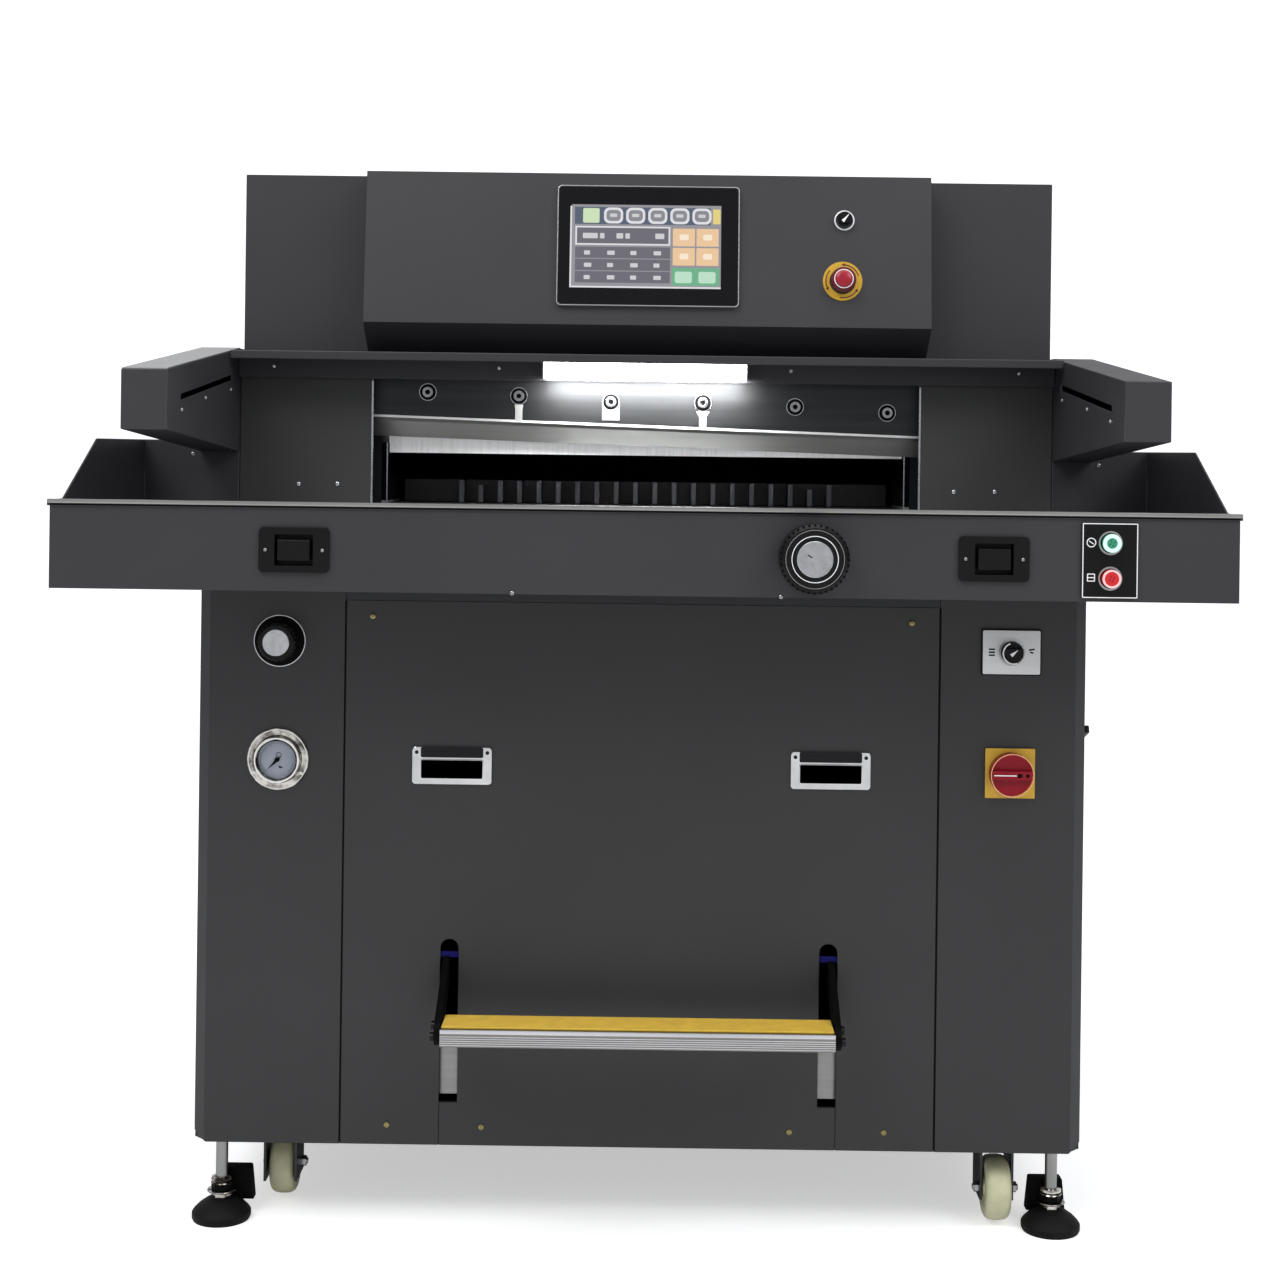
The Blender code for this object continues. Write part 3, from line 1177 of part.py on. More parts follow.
def build_arm(name, hand):
    front = APRON_FRONT
    back = CHEEK_FRONT - GAP
    tail = back + ARM_TAIL_LENGTH
    tail_low = WING_TOP + ARM_TAIL_RISE
    high = TABLE_HEIGHT + ARM_BACK_HIGH
    outline = [(front, TABLE_HEIGHT + ARM_FRONT_LOW), (back, TABLE_HEIGHT + ARM_BACK_LOW), (back, tail_low)]
    outline += [(tail, tail_low), (tail, high), (back, high), (front, TABLE_HEIGHT + ARM_FRONT_HIGH)]
    inner = hand * (CABINET_SIDE + GAP)
    outer = inner + hand * ARM_WIDTH
    arm = prism(name, [outline], "side", inner, outer)
    hollow = [tuple(point) for point in inset(outline, SHEET)]
    cut(arm, prism("arm_hollow", [hollow], "side", inner + hand * SHEET, outer - hand * SHEET))
    slot_front = front + ARM_SLOT_START
    slot_rear = front + ARM_SLOT_END
    low = TABLE_HEIGHT + ARM_SLOT_FRONT_RISE
    raised = TABLE_HEIGHT + ARM_SLOT_REAR_RISE
    slot = [(slot_front, low), (slot_rear, raised), (slot_rear, raised + ARM_SLOT_HEIGHT)]
    slot += [(slot_front, low + ARM_SLOT_HEIGHT)]
    slot_end = inner + hand * (SHEET + OVERRUN)
    cut(arm, prism("arm_slot", [slot], "side", inner - hand * OVERRUN, slot_end))
    return paint(arm, CHARCOAL_PAINT)


# Fittings


def build_touch_screen():
    centre = (0.0, SCREEN_HEIGHT_UP)
    outline = rounded(SCREEN_WIDTH, SCREEN_HEIGHT, SCREEN_CORNER, centre)
    screen = prism("touch_screen", [outline], "top", GAP, GAP + SCREEN_THICKNESS, parent=CONSOLE_PANEL)
    half = DISPLAY_WIDTH / 2
    rise = DISPLAY_HEIGHT / 2
    face = GAP + SCREEN_THICKNESS
    low = (-half, SCREEN_HEIGHT_UP - rise, face - DISPLAY_RECESS)
    high = (half, SCREEN_HEIGHT_UP + rise, face + OVERRUN)
    cut(screen, box("display_recess", low, high, parent=CONSOLE_PANEL))
    return paint(screen, SCREEN_GLASS)


def knob(name, parent, place, height, outline, depth=STEM_LENGTH):
    """A turned knob on a stem; the outline holds (radius, height over the face) pairs from the top."""
    profile = [(0.0, outline[0][1])] + outline + [(STEM_RADIUS, outline[-1][1]), (STEM_RADIUS, -depth), (0.0, -depth)]
    return turned(name, profile, ROUND_STEPS, (place, height, 0.0), parent=parent)


def add_grip(item, parent, place, height, length, base, reach):
    half = length / 2
    low = (place - half, height - GRIP_WIDTH / 2, base)
    return join(item, box("grip", low, (place + half, height + GRIP_WIDTH / 2, reach), parent=parent))


def build_console_controls():
    key_base = SHEET
    key = knob("key_switch_knob", CONSOLE_PANEL, KEY_PLACE, KEY_HEIGHT_UP,
               [(KEY_RADIUS, KEY_REACH - GRIP_HEIGHT / 2), (KEY_RADIUS, key_base)])
    add_grip(key, CONSOLE_PANEL, KEY_PLACE, KEY_HEIGHT_UP, KEY_RADIUS, key_base + OVERRUN, KEY_REACH)
    base = ESTOP_COLLAR + ESTOP_TRAVEL
    edge = ESTOP_REACH - OVERRUN
    outline = [(ESTOP_RADIUS - OVERRUN, ESTOP_REACH), (ESTOP_RADIUS, edge), (ESTOP_RADIUS, base)]
    estop = knob("estop_button", CONSOLE_PANEL, ESTOP_PLACE, ESTOP_HEIGHT_UP, outline)
    paint(key, BLACK_PLASTIC)
    paint(estop, RED_PLASTIC)


def build_cut_module(side_name, hand):
    place = hand * CUT_BUTTON_PLACE
    centre = (place, -CUT_BUTTON_DROP)
    outline = rounded(CUT_PLATE_WIDTH, CUT_PLATE_HEIGHT, CUT_PLATE_CORNER, centre)
    name = side_name + "_cut_plate"
    face = GAP + CUT_PLATE_THICKNESS
    plate = prism(name, [outline], "top", GAP, face, parent=APRON_PANEL)
    across = CUT_WINDOW_WIDTH / 2
    up = CUT_WINDOW_HEIGHT / 2
    floor = -CUT_CUP_DEPTH
    low = (place - across - SHEET, -CUT_BUTTON_DROP - up - SHEET, floor)
    high = (place + across + SHEET, -CUT_BUTTON_DROP + up + SHEET, GAP + CUT_PLATE_THICKNESS / 2)
    join(plate, box("cup", low, high, parent=APRON_PANEL))
    low = (place - across, -CUT_BUTTON_DROP - up, floor + SHEET)
    high = (place + across, -CUT_BUTTON_DROP + up, face + OVERRUN)
    cut(plate, box("cup_hollow", low, high, parent=APRON_PANEL))
    stem_hole(plate, APRON_PANEL, place, -CUT_BUTTON_DROP, STEM_RADIUS, depth=CUT_CUP_DEPTH)
    across = CUT_BUTTON_WIDTH / 2
    up = CUT_BUTTON_HEIGHT / 2
    back = floor + SHEET + CUT_BUTTON_TRAVEL + GAP
    low = (place - across, -CUT_BUTTON_DROP - up, back)
    high = (place + across, -CUT_BUTTON_DROP + up, face + CUT_BUTTON_PROUD)
    button = box(side_name + "_cut_button", low, high, parent=APRON_PANEL)
    stem_start = (place, -CUT_BUTTON_DROP, floor - OVERRUN)
    stem_end = (place, -CUT_BUTTON_DROP, back + GAP)
    join(button, rod("stem", STEM_RADIUS, stem_start, stem_end, parent=APRON_PANEL))
    paint(plate, BLACK_PLASTIC)
    paint(button, BLACK_PLASTIC)


def build_push_panel():
    outline = rounded(PUSH_PLATE_WIDTH, PUSH_PLATE_HEIGHT, SHEET, (PUSH_PLACE, -PUSH_PLATE_DROP))
    face = GAP + PUSH_PLATE_THICKNESS
    plate = prism("push_plate", [outline], "top", GAP, face, parent=APRON_PANEL)
    paint(plate, BLACK_PLASTIC)
    finishes = (GREEN_PLASTIC, RED_PLASTIC)
    for name, height, finish in zip(("start_button", "stop_button"), push_heights(), finishes):
        stem_hole(plate, APRON_PANEL, PUSH_PLACE, height, STEM_RADIUS)
        base = face + PUSH_TRAVEL + GAP
        outline = [(PUSH_RADIUS, face + PUSH_REACH), (PUSH_RADIUS, base)]
        paint(knob(name, APRON_PANEL, PUSH_PLACE, height, outline), finish)


def build_handwheel():
    reach = HANDWHEEL_REACH
    edge = reach - OVERRUN
    outline = [(HANDWHEEL_RADIUS - OVERRUN, reach), (HANDWHEEL_RADIUS, edge)]
    outline += [(HANDWHEEL_RADIUS, HANDWHEEL_HUB_LENGTH), (HANDWHEEL_HUB_RADIUS, HANDWHEEL_HUB_LENGTH)]
    outline += [(HANDWHEEL_HUB_RADIUS, GAP)]
    wheel = knob("handwheel", APRON_PANEL, HANDWHEEL_PLACE, -HANDWHEEL_DROP, outline)
    return paint(wheel, BLACK_PLASTIC)


def build_pillar_controls():
    outline = [(PRESSURE_RADIUS - SHEET, PRESSURE_REACH), (PRESSURE_RADIUS, PRESSURE_REACH - SHEET)]
    outline += [(PRESSURE_RADIUS, GAP)]
    pressure = knob("pressure_knob", CABINET_PANEL, -PRESSURE_PLACE, PRESSURE_HEIGHT, outline)
    paint(pressure, BLACK_PLASTIC)
    build_gauge()
    base = SWITCH_PLATE_THICKNESS + GAP
    outline = [(SELECTOR_RADIUS, SELECTOR_REACH - GRIP_HEIGHT), (SELECTOR_RADIUS, base)]
    selector = knob("selector_knob", CABINET_PANEL, SWITCH_PLACE, SELECTOR_HEIGHT, outline)
    length = 2 * SELECTOR_RADIUS - OVERRUN
    add_grip(selector, CABINET_PANEL, SWITCH_PLACE, SELECTOR_HEIGHT, length, base + OVERRUN, SELECTOR_REACH)
    paint(selector, BLACK_PLASTIC)
    outline = [(MAIN_SWITCH_RADIUS, MAIN_SWITCH_REACH - GRIP_HEIGHT), (MAIN_SWITCH_RADIUS, base)]
    main = knob("main_switch_knob", CABINET_PANEL, SWITCH_PLACE, MAIN_SWITCH_HEIGHT, outline)
    length = 2 * MAIN_SWITCH_RADIUS - OVERRUN
    add_grip(main, CABINET_PANEL, SWITCH_PLACE, MAIN_SWITCH_HEIGHT, length, base + OVERRUN, MAIN_SWITCH_REACH)
    paint(main, RED_PLASTIC)


def build_gauge():
    rim = GAUGE_BEZEL_REACH
    dial = rim - GAUGE_DIAL_RECESS
    flange = GAP + GAUGE_FLANGE_THICKNESS
    profile = [(0.0, dial), (GAUGE_DIAL_RADIUS, dial), (GAUGE_DIAL_RADIUS, rim), (GAUGE_BEZEL_RADIUS, rim)]
    profile += [(GAUGE_BEZEL_RADIUS, flange), (GAUGE_FLANGE_RADIUS, flange), (GAUGE_FLANGE_RADIUS, GAP)]
    profile += [(GAUGE_CASE_RADIUS, GAP), (GAUGE_CASE_RADIUS, -GAUGE_CASE_DEPTH), (0.0, -GAUGE_CASE_DEPTH)]
    place = (-PRESSURE_PLACE, GAUGE_DIAL_HEIGHT, 0.0)
    paint(turned("pressure_gauge", profile, ROUND_STEPS, place, parent=CABINET_PANEL), CHROME)
    outline = [(0.0, NEEDLE_LENGTH), (-NEEDLE_WIDTH, 0.0), (0.0, -NEEDLE_TAIL), (NEEDLE_WIDTH, 0.0)]
    start = dial + NEEDLE_LIFT
    needle = prism("gauge_needle", [outline], "top", start, start + NEEDLE_THICKNESS, parent=CABINET_PANEL)
    needle.location = (place[0], place[1], start + NEEDLE_THICKNESS / 2)
    needle.rotation_euler = (0.0, 0.0, -NEEDLE_REST)
    paint(needle, BLACK_PLASTIC)


def build_pull_handle(name, hand):
    place = hand * HANDLE_PLACE
    outline = rounded(HANDLE_WIDTH, HANDLE_TALL, HANDLE_CORNER, (place, HANDLE_HEIGHT))
    face = GAP + HANDLE_FLANGE
    handle = prism(name, [outline], "top", GAP, face, parent=CABINET_PANEL)
    middle = HANDLE_HEIGHT - HANDLE_CUP_DROP
    across = HANDLE_CUP_WIDTH / 2
    up = HANDLE_CUP_TALL / 2
    low = (place - across - SHEET, middle - up - SHEET, -HANDLE_CUP_DEPTH)
    high = (place + across + SHEET, middle + up + SHEET, GAP + HANDLE_FLANGE / 2)
    join(handle, box("cup", low, high, parent=CABINET_PANEL))
    low = (place - across, middle - up, SHEET - HANDLE_CUP_DEPTH)
    high = (place + across, middle + up, face + OVERRUN)
    cut(handle, box("cup_hollow", low, high, parent=CABINET_PANEL))
    return paint(handle, CHROME)


def build_side_latch():
    centre = Vector((CABINET_SIDE, CABINET_FRONT + LATCH_BACK, LATCH_HEIGHT))
    reach = GAP + LATCH_REACH
    profile = [(0.0, reach), (LATCH_RADIUS, reach), (LATCH_RADIUS, GAP), (STEM_RADIUS, GAP)]
    profile += [(STEM_RADIUS, -STEM_LENGTH), (0.0, -STEM_LENGTH)]
    latch = turned("side_latch", profile, ROUND_STEPS, centre, (0.0, math.pi / 2, 0.0))
    return paint(latch, BLACK_PLASTIC)


# Foot pedal


def build_pedal():
    pivot = Vector(PEDAL_PIVOT)
    reach = PEDAL_SIDE + PEDAL_ARM_THICKNESS + PEDAL_BEARING_INSET + PEDAL_BEARING_THICKNESS + OVERRUN
    start = pivot - Vector((reach, 0.0, 0.0))
    arms = rod("pedal_arms", PEDAL_SHAFT_RADIUS, start, pivot + Vector((reach, 0.0, 0.0)))
    bar_centre = (PEDAL_FRONT + PEDAL_DEPTH / 2, PEDAL_TOP - PEDAL_HEIGHT / 2)
    outline = capsule(bar_centre, (pivot.y, pivot.z), PEDAL_ARM_WIDTH / 2)
    for hand in (-1, 1):
        inner = hand * (PEDAL_SIDE + GAP)
        join(arms, prism("pedal_arm", [outline], "side", inner, inner + hand * PEDAL_ARM_THICKNESS))
    low = (-PEDAL_SIDE, PEDAL_FRONT, PEDAL_TOP - PEDAL_HEIGHT)
    high = (PEDAL_SIDE, PEDAL_FRONT + PEDAL_DEPTH, PEDAL_TOP)
    bar = box("pedal_bar", low, high, origin=PEDAL_PIVOT)
    paint(arms, DARK_PAINT)
    paint(bar, ALUMINIUM)


# Feet and wheels


def build_foot(name, place, setback):
    top = FLOOR_CLEARANCE - GAP
    nut_top = PAD_HEIGHT + FOOT_NUT_HEIGHT
    profile = [(0.0, top), (FOOT_STEM_RADIUS, top), (FOOT_STEM_RADIUS, nut_top), (FOOT_NUT_RADIUS, nut_top)]
    profile += [(FOOT_NUT_RADIUS, PAD_HEIGHT), (PAD_TOP_RADIUS, PAD_HEIGHT), (PAD_RADIUS, PAD_EDGE)]
    profile += [(PAD_RADIUS, 0.0), (0.0, 0.0)]
    return paint(turned(name, profile, ROUND_STEPS, (place, setback, 0.0)), BLACK_RUBBER)


def build_wheel(name, centre):
    """A wheel with its axle; it rolls about X."""
    half = WHEEL_WIDTH / 2
    axle = half + FORK_SIDE_PLAY + FORK_THICKNESS + FORK_SIDE_PLAY
    shoulder = WHEEL_RADIUS - WHEEL_TREAD_ROUND
    profile = [(0.0, axle), (AXLE_RADIUS, axle), (AXLE_RADIUS, half), (shoulder, half)]
    profile += [(WHEEL_RADIUS, half - WHEEL_TREAD_ROUND), (WHEEL_RADIUS, WHEEL_TREAD_ROUND - half)]
    profile += [(shoulder, -half), (AXLE_RADIUS, -half), (AXLE_RADIUS, -axle), (0.0, -axle)]
    return paint(turned(name, profile, WHEEL_STEPS, centre, (0.0, math.pi / 2, 0.0)), CREAM_PLASTIC)


def build_front_castor(side_name, hand):
    """The left fork trails backwards and the right one forwards."""
    trail = -hand * WHEEL_TRAIL
    swivel = Vector((hand * WHEEL_PLACE, WHEEL_FRONT, 0.0))
    centre = swivel + Vector((0.0, trail, AXLE_HEIGHT))
    top = FLOOR_CLEARANCE - GAP
    crown = top - FORK_CROWN_HEIGHT
    name = side_name + "_castor_fork"
    profile = [(0.0, top), (FORK_CROWN_RADIUS, top), (FORK_CROWN_RADIUS, crown), (0.0, crown)]
    fork = turned(name, profile, ROUND_STEPS, swivel)
    half = FORK_ARM_WIDTH / 2
    front = min(swivel.y, centre.y) - half
    rear = max(swivel.y, centre.y) + half
    add_fork_arms(fork, centre, front, rear, crown + FORK_THICKNESS)
    paint(fork, BRUSHED_STEEL)
    build_wheel(side_name + "_wheel", centre)


def main():
    build_base_frame()
    build_table_bed()
    build_cutting_stick()
    build_rear_table()
    build_portal_frame()
    build_knife_slide()
    build_knife_cylinder()
    build_knife()
    build_clamp_beam()
    build_back_gauge()
    build_lead_screw()
    build_apron()
    build_side_covers()
    build_rear_panel()
    build_door()
    build_lower_panel()
    build_power_pack()
    build_upper_casing()
    build_console()
    build_ledge()
    build_lamp()
    build_touch_screen()
    build_console_controls()
    build_push_panel()
    build_handwheel()
    build_pillar_controls()
    build_side_latch()
    build_pedal()
    for side_name, hand in (("left", -1), ("right", 1)):
        build_side_table(side_name + "_side_table", hand)
        build_cheek(side_name + "_cheek_cover", hand)
        build_arm(side_name + "_arm_housing", hand)
        build_cut_module(side_name, hand)
        build_pull_handle(side_name + "_pull_handle", hand)
        build_front_castor("front_" + side_name, hand)
        build_foot("front_" + side_name + "_foot", hand * FOOT_PLACE, FOOT_FRONT)
        build_foot("rear_" + side_name + "_foot", hand * FOOT_PLACE, FOOT_REAR)
        build_wheel("rear_" + side_name + "_wheel", (hand * WHEEL_PLACE, WHEEL_REAR, AXLE_HEIGHT))


main()
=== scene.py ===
"""Looks of the hydraulic paper cutter: finishes, screws, fittings, display, feet, floor, light and camera."""
import math

import bmesh
import bpy
from mathutils import Euler, Matrix, Vector


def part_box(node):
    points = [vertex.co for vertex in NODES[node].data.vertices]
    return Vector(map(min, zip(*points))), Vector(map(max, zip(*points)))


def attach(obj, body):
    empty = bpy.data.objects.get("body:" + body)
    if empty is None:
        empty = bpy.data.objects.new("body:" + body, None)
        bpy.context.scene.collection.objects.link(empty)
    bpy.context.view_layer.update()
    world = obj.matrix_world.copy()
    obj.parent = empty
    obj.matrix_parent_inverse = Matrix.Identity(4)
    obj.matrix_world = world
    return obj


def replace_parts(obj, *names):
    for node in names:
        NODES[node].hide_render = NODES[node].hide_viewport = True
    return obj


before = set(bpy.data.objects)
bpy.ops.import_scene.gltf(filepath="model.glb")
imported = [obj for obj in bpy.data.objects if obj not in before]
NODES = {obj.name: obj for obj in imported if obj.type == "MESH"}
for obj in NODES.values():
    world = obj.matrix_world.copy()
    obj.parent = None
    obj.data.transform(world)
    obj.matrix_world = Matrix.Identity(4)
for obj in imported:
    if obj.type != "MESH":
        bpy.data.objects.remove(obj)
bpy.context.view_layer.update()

HERE = Matrix.Identity(4)
SIDES = (("left", -1), ("right", 1))
SMOOTH_ANGLE = math.radians(32.0)
ROUND = 48
AXIS_REACH = 0.0001

# How deep a thin fitting is let into its face, the usual rounding of a block, and how roundings are cut
SINK = 0.0002
EDGE = 0.0005
EDGE_SHARE = 0.45
ROUNDING = {"segments": 2, "profile": 0.7, "affect": "EDGES"}

# Places of the model's own faces, read from its nodes
RAIL_STEP = 0.0003
CONSOLE_FACE_RISE = 0.231
CONSOLE_FACE_RUN = 0.021
APRON_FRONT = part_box("left_arm_housing")[0].y
CABINET_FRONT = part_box("centre_door")[0].y
CARRIER_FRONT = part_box("knife_carrier")[0].y
CHEEK_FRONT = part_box("left_cheek_cover")[0].y
CABINET_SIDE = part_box("upper_casing")[1].x
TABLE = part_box("table_bed")[1].z
HEAD_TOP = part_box("upper_casing")[1].z
RAIL_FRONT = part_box("lamp")[1].y + RAIL_STEP
REAR_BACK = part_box("rear_panel")[1].y
CONSOLE_FACE_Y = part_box("console_housing")[0].y
CONSOLE_FACE_Z = TABLE + CONSOLE_FACE_RISE
CONSOLE_LEAN = math.atan2(CONSOLE_FACE_RUN, HEAD_TOP - CONSOLE_FACE_Z)


def face_matrix(place, lean=0.0):
    """Local X across, Y up and Z outwards from a face towards the operator."""
    return Matrix.Translation(place) @ Euler((math.pi / 2 - lean, 0.0, 0.0)).to_matrix().to_4x4()


def side_matrix(x, out):
    """Local X along Y, Y up and Z outwards from a face that looks along X; out is 1 or -1."""
    return Matrix(((0.0, 0.0, out, x), (out, 0.0, 0.0, 0.0), (0.0, 1.0, 0.0, 0.0), (0.0, 0.0, 0.0, 1.0)))


def at(panel, across, up, out=0.0):
    return panel @ Matrix.Translation((across, up, out))


def spun(place, turn):
    """A place turned about its own Z axis, in radians."""
    return place @ Matrix.Rotation(turn, 4, "Z")


def around(place, count):
    """The same place turned about its own Z axis, so many times round."""
    return [spun(place, 2 * math.pi * step / count) for step in range(count)]


def front_of(name, face):
    """How far a node reaches out of a face."""
    inverse = face.inverted()
    return max((inverse @ (NODES[name].matrix_world @ vert.co)).z for vert in NODES[name].data.vertices)


APRON = face_matrix((0.0, APRON_FRONT, TABLE))
CABINET = face_matrix((0.0, CABINET_FRONT, 0.0))
CARRIER = face_matrix((0.0, CARRIER_FRONT, 0.0))
CONSOLE = face_matrix((0.0, CONSOLE_FACE_Y, CONSOLE_FACE_Z), CONSOLE_LEAN)
CHEEK = face_matrix((0.0, CHEEK_FRONT, 0.0))
RAIL = face_matrix((0.0, RAIL_FRONT, 0.0))
REAR = Matrix(((-1.0, 0.0, 0.0, 0.0), (0.0, 0.0, 1.0, REAR_BACK), (0.0, 1.0, 0.0, 0.0), (0.0, 0.0, 0.0, 1.0)))
LENGTHWISE = side_matrix(0.0, 1.0)


# Materials

EVEN = (1.0, 1.0, 1.0)
LEAST_ROUGHNESS = 0.02


def linear(red, green, blue):
    """A colour as it looks on a screen, as the linear values a shader needs."""
    values = [value / 255 for value in (red, green, blue)]
    return tuple(((value + 0.055) / 1.055) ** 2.4 if value > 0.04 else value / 12.92 for value in values)


def with_inputs(node, values):
    """A node with constants on its own inputs, with _ for each space of an input's name."""
    for name, value in values.items():
        node.inputs[name.replace("_", " ")].default_value = value
    return node


class Finish:
    """One procedural material: cloudy colour, uneven gloss and a fine grain in the surface."""

    def __init__(self, name, colour, roughness, metallic=0.0):
        self.surface = bpy.data.materials.new(name)
        self.surface.use_nodes = True
        self.tree = self.surface.node_tree
        self.shader = self.tree.nodes["Principled BSDF"]
        self.colour = linear(*colour)
        self.roughness = roughness
        self.place = self.tree.nodes.new("ShaderNodeTexCoord").outputs["Object"]
        self.sockets(Metallic=metallic, Roughness=roughness)

    def sockets(self, **values):
        with_inputs(self.shader, values)
        return self

    def node(self, kind, **values):
        return with_inputs(self.tree.nodes.new(kind), values)

    def link(self, start, end):
        self.tree.links.new(start, end)

    def noise(self, scale, stretch=EVEN, detail=3.0):
        mapping = self.node("ShaderNodeMapping", Scale=stretch)
        self.link(self.place, mapping.inputs["Vector"])
        noise = self.node("ShaderNodeTexNoise", Scale=scale, Detail=detail)
        self.link(mapping.outputs["Vector"], noise.inputs["Vector"])
        return noise.outputs["Fac"]

    def ramp(self, factor, low, high, start=0.3, end=0.7):
        ramp = self.node("ShaderNodeValToRGB")
        for element, place, colour in zip(ramp.color_ramp.elements, (start, end), (low, high)):
            element.position = place
            element.color = (*colour, 1.0)
        self.link(factor, ramp.inputs["Fac"])
        return ramp.outputs["Color"]

    def clouds(self, scale, share, stretch=EVEN):
        low = [value * (1 - share) for value in self.colour]
        high = [value * (1 + share) for value in self.colour]
        self.link(self.ramp(self.noise(scale, stretch), low, high), self.shader.inputs["Base Color"])
        return self

    def uneven_gloss(self, scale, spread, stretch=EVEN):
        low, high = max(LEAST_ROUGHNESS, self.roughness - spread), min(1.0, self.roughness + spread)
        reach = self.node("ShaderNodeMapRange", To_Min=low, To_Max=high)
        self.link(self.noise(scale, stretch), reach.inputs["Value"])
        self.link(reach.outputs["Result"], self.shader.inputs["Roughness"])
        return self

    def grain(self, scale, depth, stretch=EVEN, strength=0.5):
        bump = self.node("ShaderNodeBump", Distance=depth, Strength=strength)
        self.link(self.noise(scale, stretch, 2.0), bump.inputs["Height"])
        self.link(bump.outputs["Normal"], self.shader.inputs["Normal"])
        return self

    def glow(self, colour, strength):
        return self.sockets(Emission_Color=(*linear(*colour), 1.0), Emission_Strength=strength)

    def dull(self, level):
        return self.sockets(Specular_IOR_Level=level)


def painted(name, colour, roughness=0.48, shine=0.5):
    item = Finish(name, colour, roughness).dull(shine).clouds(5.0, 0.07).uneven_gloss(14.0, 0.05)
    return item.grain(1100.0, 0.00012, strength=0.35).surface


def moulded(name, colour, roughness=0.42, share=0.08, shine=0.5):
    item = Finish(name, colour, roughness).dull(shine).clouds(60.0, share).uneven_gloss(90.0, 0.06)
    return item.grain(1800.0, 0.00006, strength=0.3).surface


def brushed(name, colour, roughness, stretch, share=0.10, metallic=1.0):
    item = Finish(name, colour, roughness, metallic).clouds(9.0, share, stretch)
    return item.uneven_gloss(22.0, 0.08, stretch).grain(60.0, 0.00004, stretch, 0.35).surface


def lit(name, colour, strength, share=0.05):
    item = Finish(name, colour, 0.4).clouds(120.0, share).uneven_gloss(60.0, 0.05)
    return item.glow(colour, strength).surface


def shown(name, colour):
    """A colour of the display: dark glass that gives its own light."""
    item = Finish(name, (14, 14, 15), 0.2).clouds(200.0, 0.2).uneven_gloss(60.0, 0.04)
    return item.glow(colour, 0.95).surface


def two_tone(name, near, far, metallic, axis, level):
    """One colour up to a level along an axis and another past it."""
    item = Finish(name, near, 0.45, metallic)
    item.uneven_gloss(40.0, 0.06, UPRIGHT).grain(200.0, 0.00004, UPRIGHT)
    apart = item.node("ShaderNodeSeparateXYZ")
    item.link(item.place, apart.inputs["Vector"])
    step = item.node("ShaderNodeMath")
    step.operation = "GREATER_THAN"
    step.inputs[1].default_value = level
    item.link(apart.outputs[axis], step.inputs[0])
    mix = item.node("ShaderNodeMix")
    mix.data_type = "RGBA"
    cloud = item.noise(30.0, UPRIGHT)
    item.link(step.outputs["Value"], mix.inputs[0])
    for socket, colour in ((6, item.colour), (7, linear(*far))):
        item.link(item.ramp(cloud, [value * 0.85 for value in colour], colour), mix.inputs[socket])
    item.link(mix.outputs[2], item.shader.inputs["Base Color"])
    return item.surface


ACROSS = (0.6, 14.0, 14.0)
ALONG = (14.0, 0.6, 14.0)
UPRIGHT = (14.0, 14.0, 0.6)

CHARCOAL = painted("charcoal_powder_coat", (47, 46, 50))
COVER_GREY = painted("cover_powder_coat", (41, 41, 42))
CHEEK_GREY = painted("cheek_powder_coat", (54, 54, 54))
CONSOLE_GREY = painted("console_powder_coat", (50, 49, 53))
DARK_GREY = painted("dark_satin_paint", (30, 31, 35), 0.42)
INSIDE = painted("inner_dark_paint", (14, 16, 20), 0.6, 0.2)
BLUE = painted("dark_blue_paint", (26, 24, 92), 0.4)
BAND_BLUE = moulded("slot_band_blue", (20, 18, 88), 0.6, 0.08, 0.1)
BLACK = moulded("black_plastic", (12, 12, 13), 0.38, 0.08, 0.22)
SOFT_BLACK = moulded("matt_black_plastic", (6, 6, 7), 0.6, 0.08, 0.08)
RUBBER = moulded("black_rubber", (12, 12, 13), 0.62, 0.15, 0.2)
RED = moulded("red_plastic", (158, 22, 42), 0.3)
SWITCH_RED = moulded("switch_red", (140, 12, 32), 0.3, 0.08, 0.25)
DEEP_RED = moulded("deep_red_plastic", (96, 12, 24), 0.38)
YELLOW = moulded("yellow_plastic", (208, 164, 46), 0.4)
TREAD_YELLOW = moulded("yellow_tread", (217, 179, 56), 0.5, 0.08)
CREAM = moulded("cream_nylon", (208, 205, 170), 0.42, 0.10)
SWITCH_RIM_HIGHLIGHT = moulded("switch_rim_painted_highlight", (236, 176, 132), 0.4)
WHITE = moulded("white_print", (246, 246, 248), 0.5, 0.03)
GREY_PRINT = moulded("grey_print", (150, 150, 154), 0.5, 0.05)
DIAL_GREY = moulded("dial_grey", (186, 187, 198), 0.45, 0.05)
TABLE_STEEL = brushed("ground_table_steel", (168, 169, 172), 0.34, ACROSS)
BLADE_STEEL = brushed("ground_blade_steel", (136, 136, 132), 0.36, ACROSS, 0.05)
CLAMP_STEEL = brushed("clamp_steel", (186, 186, 184), 0.36, ACROSS, 0.05, 0.3)
# Near-white steel: on the knife carrier's chamfer its brightness is a painted highlight of the lamp.
EDGE_STEEL_HIGHLIGHT = brushed("ground_edge_painted_highlight", (248, 248, 246), 0.34, ACROSS, 0.03, 0.4)
CARRIER_STEEL = brushed("dark_carrier_steel", (64, 65, 66), 0.46, ACROSS)
ROD_STEEL = brushed("turned_steel", (156, 156, 155), 0.24, UPRIGHT)
ALUMINIUM = brushed("satin_aluminium", (206, 207, 210), 0.28, ACROSS)
DISC = brushed("turned_disc", (206, 207, 210), 0.30, ALONG)
SCREW = brushed("screw_steel", (176, 176, 178), 0.28, UPRIGHT)
BRASS_SCREW = brushed("brass_screw", (150, 140, 96), 0.30, UPRIGHT)
DARK_BOLT = brushed("blackened_bolt", (46, 46, 48), 0.34, UPRIGHT)
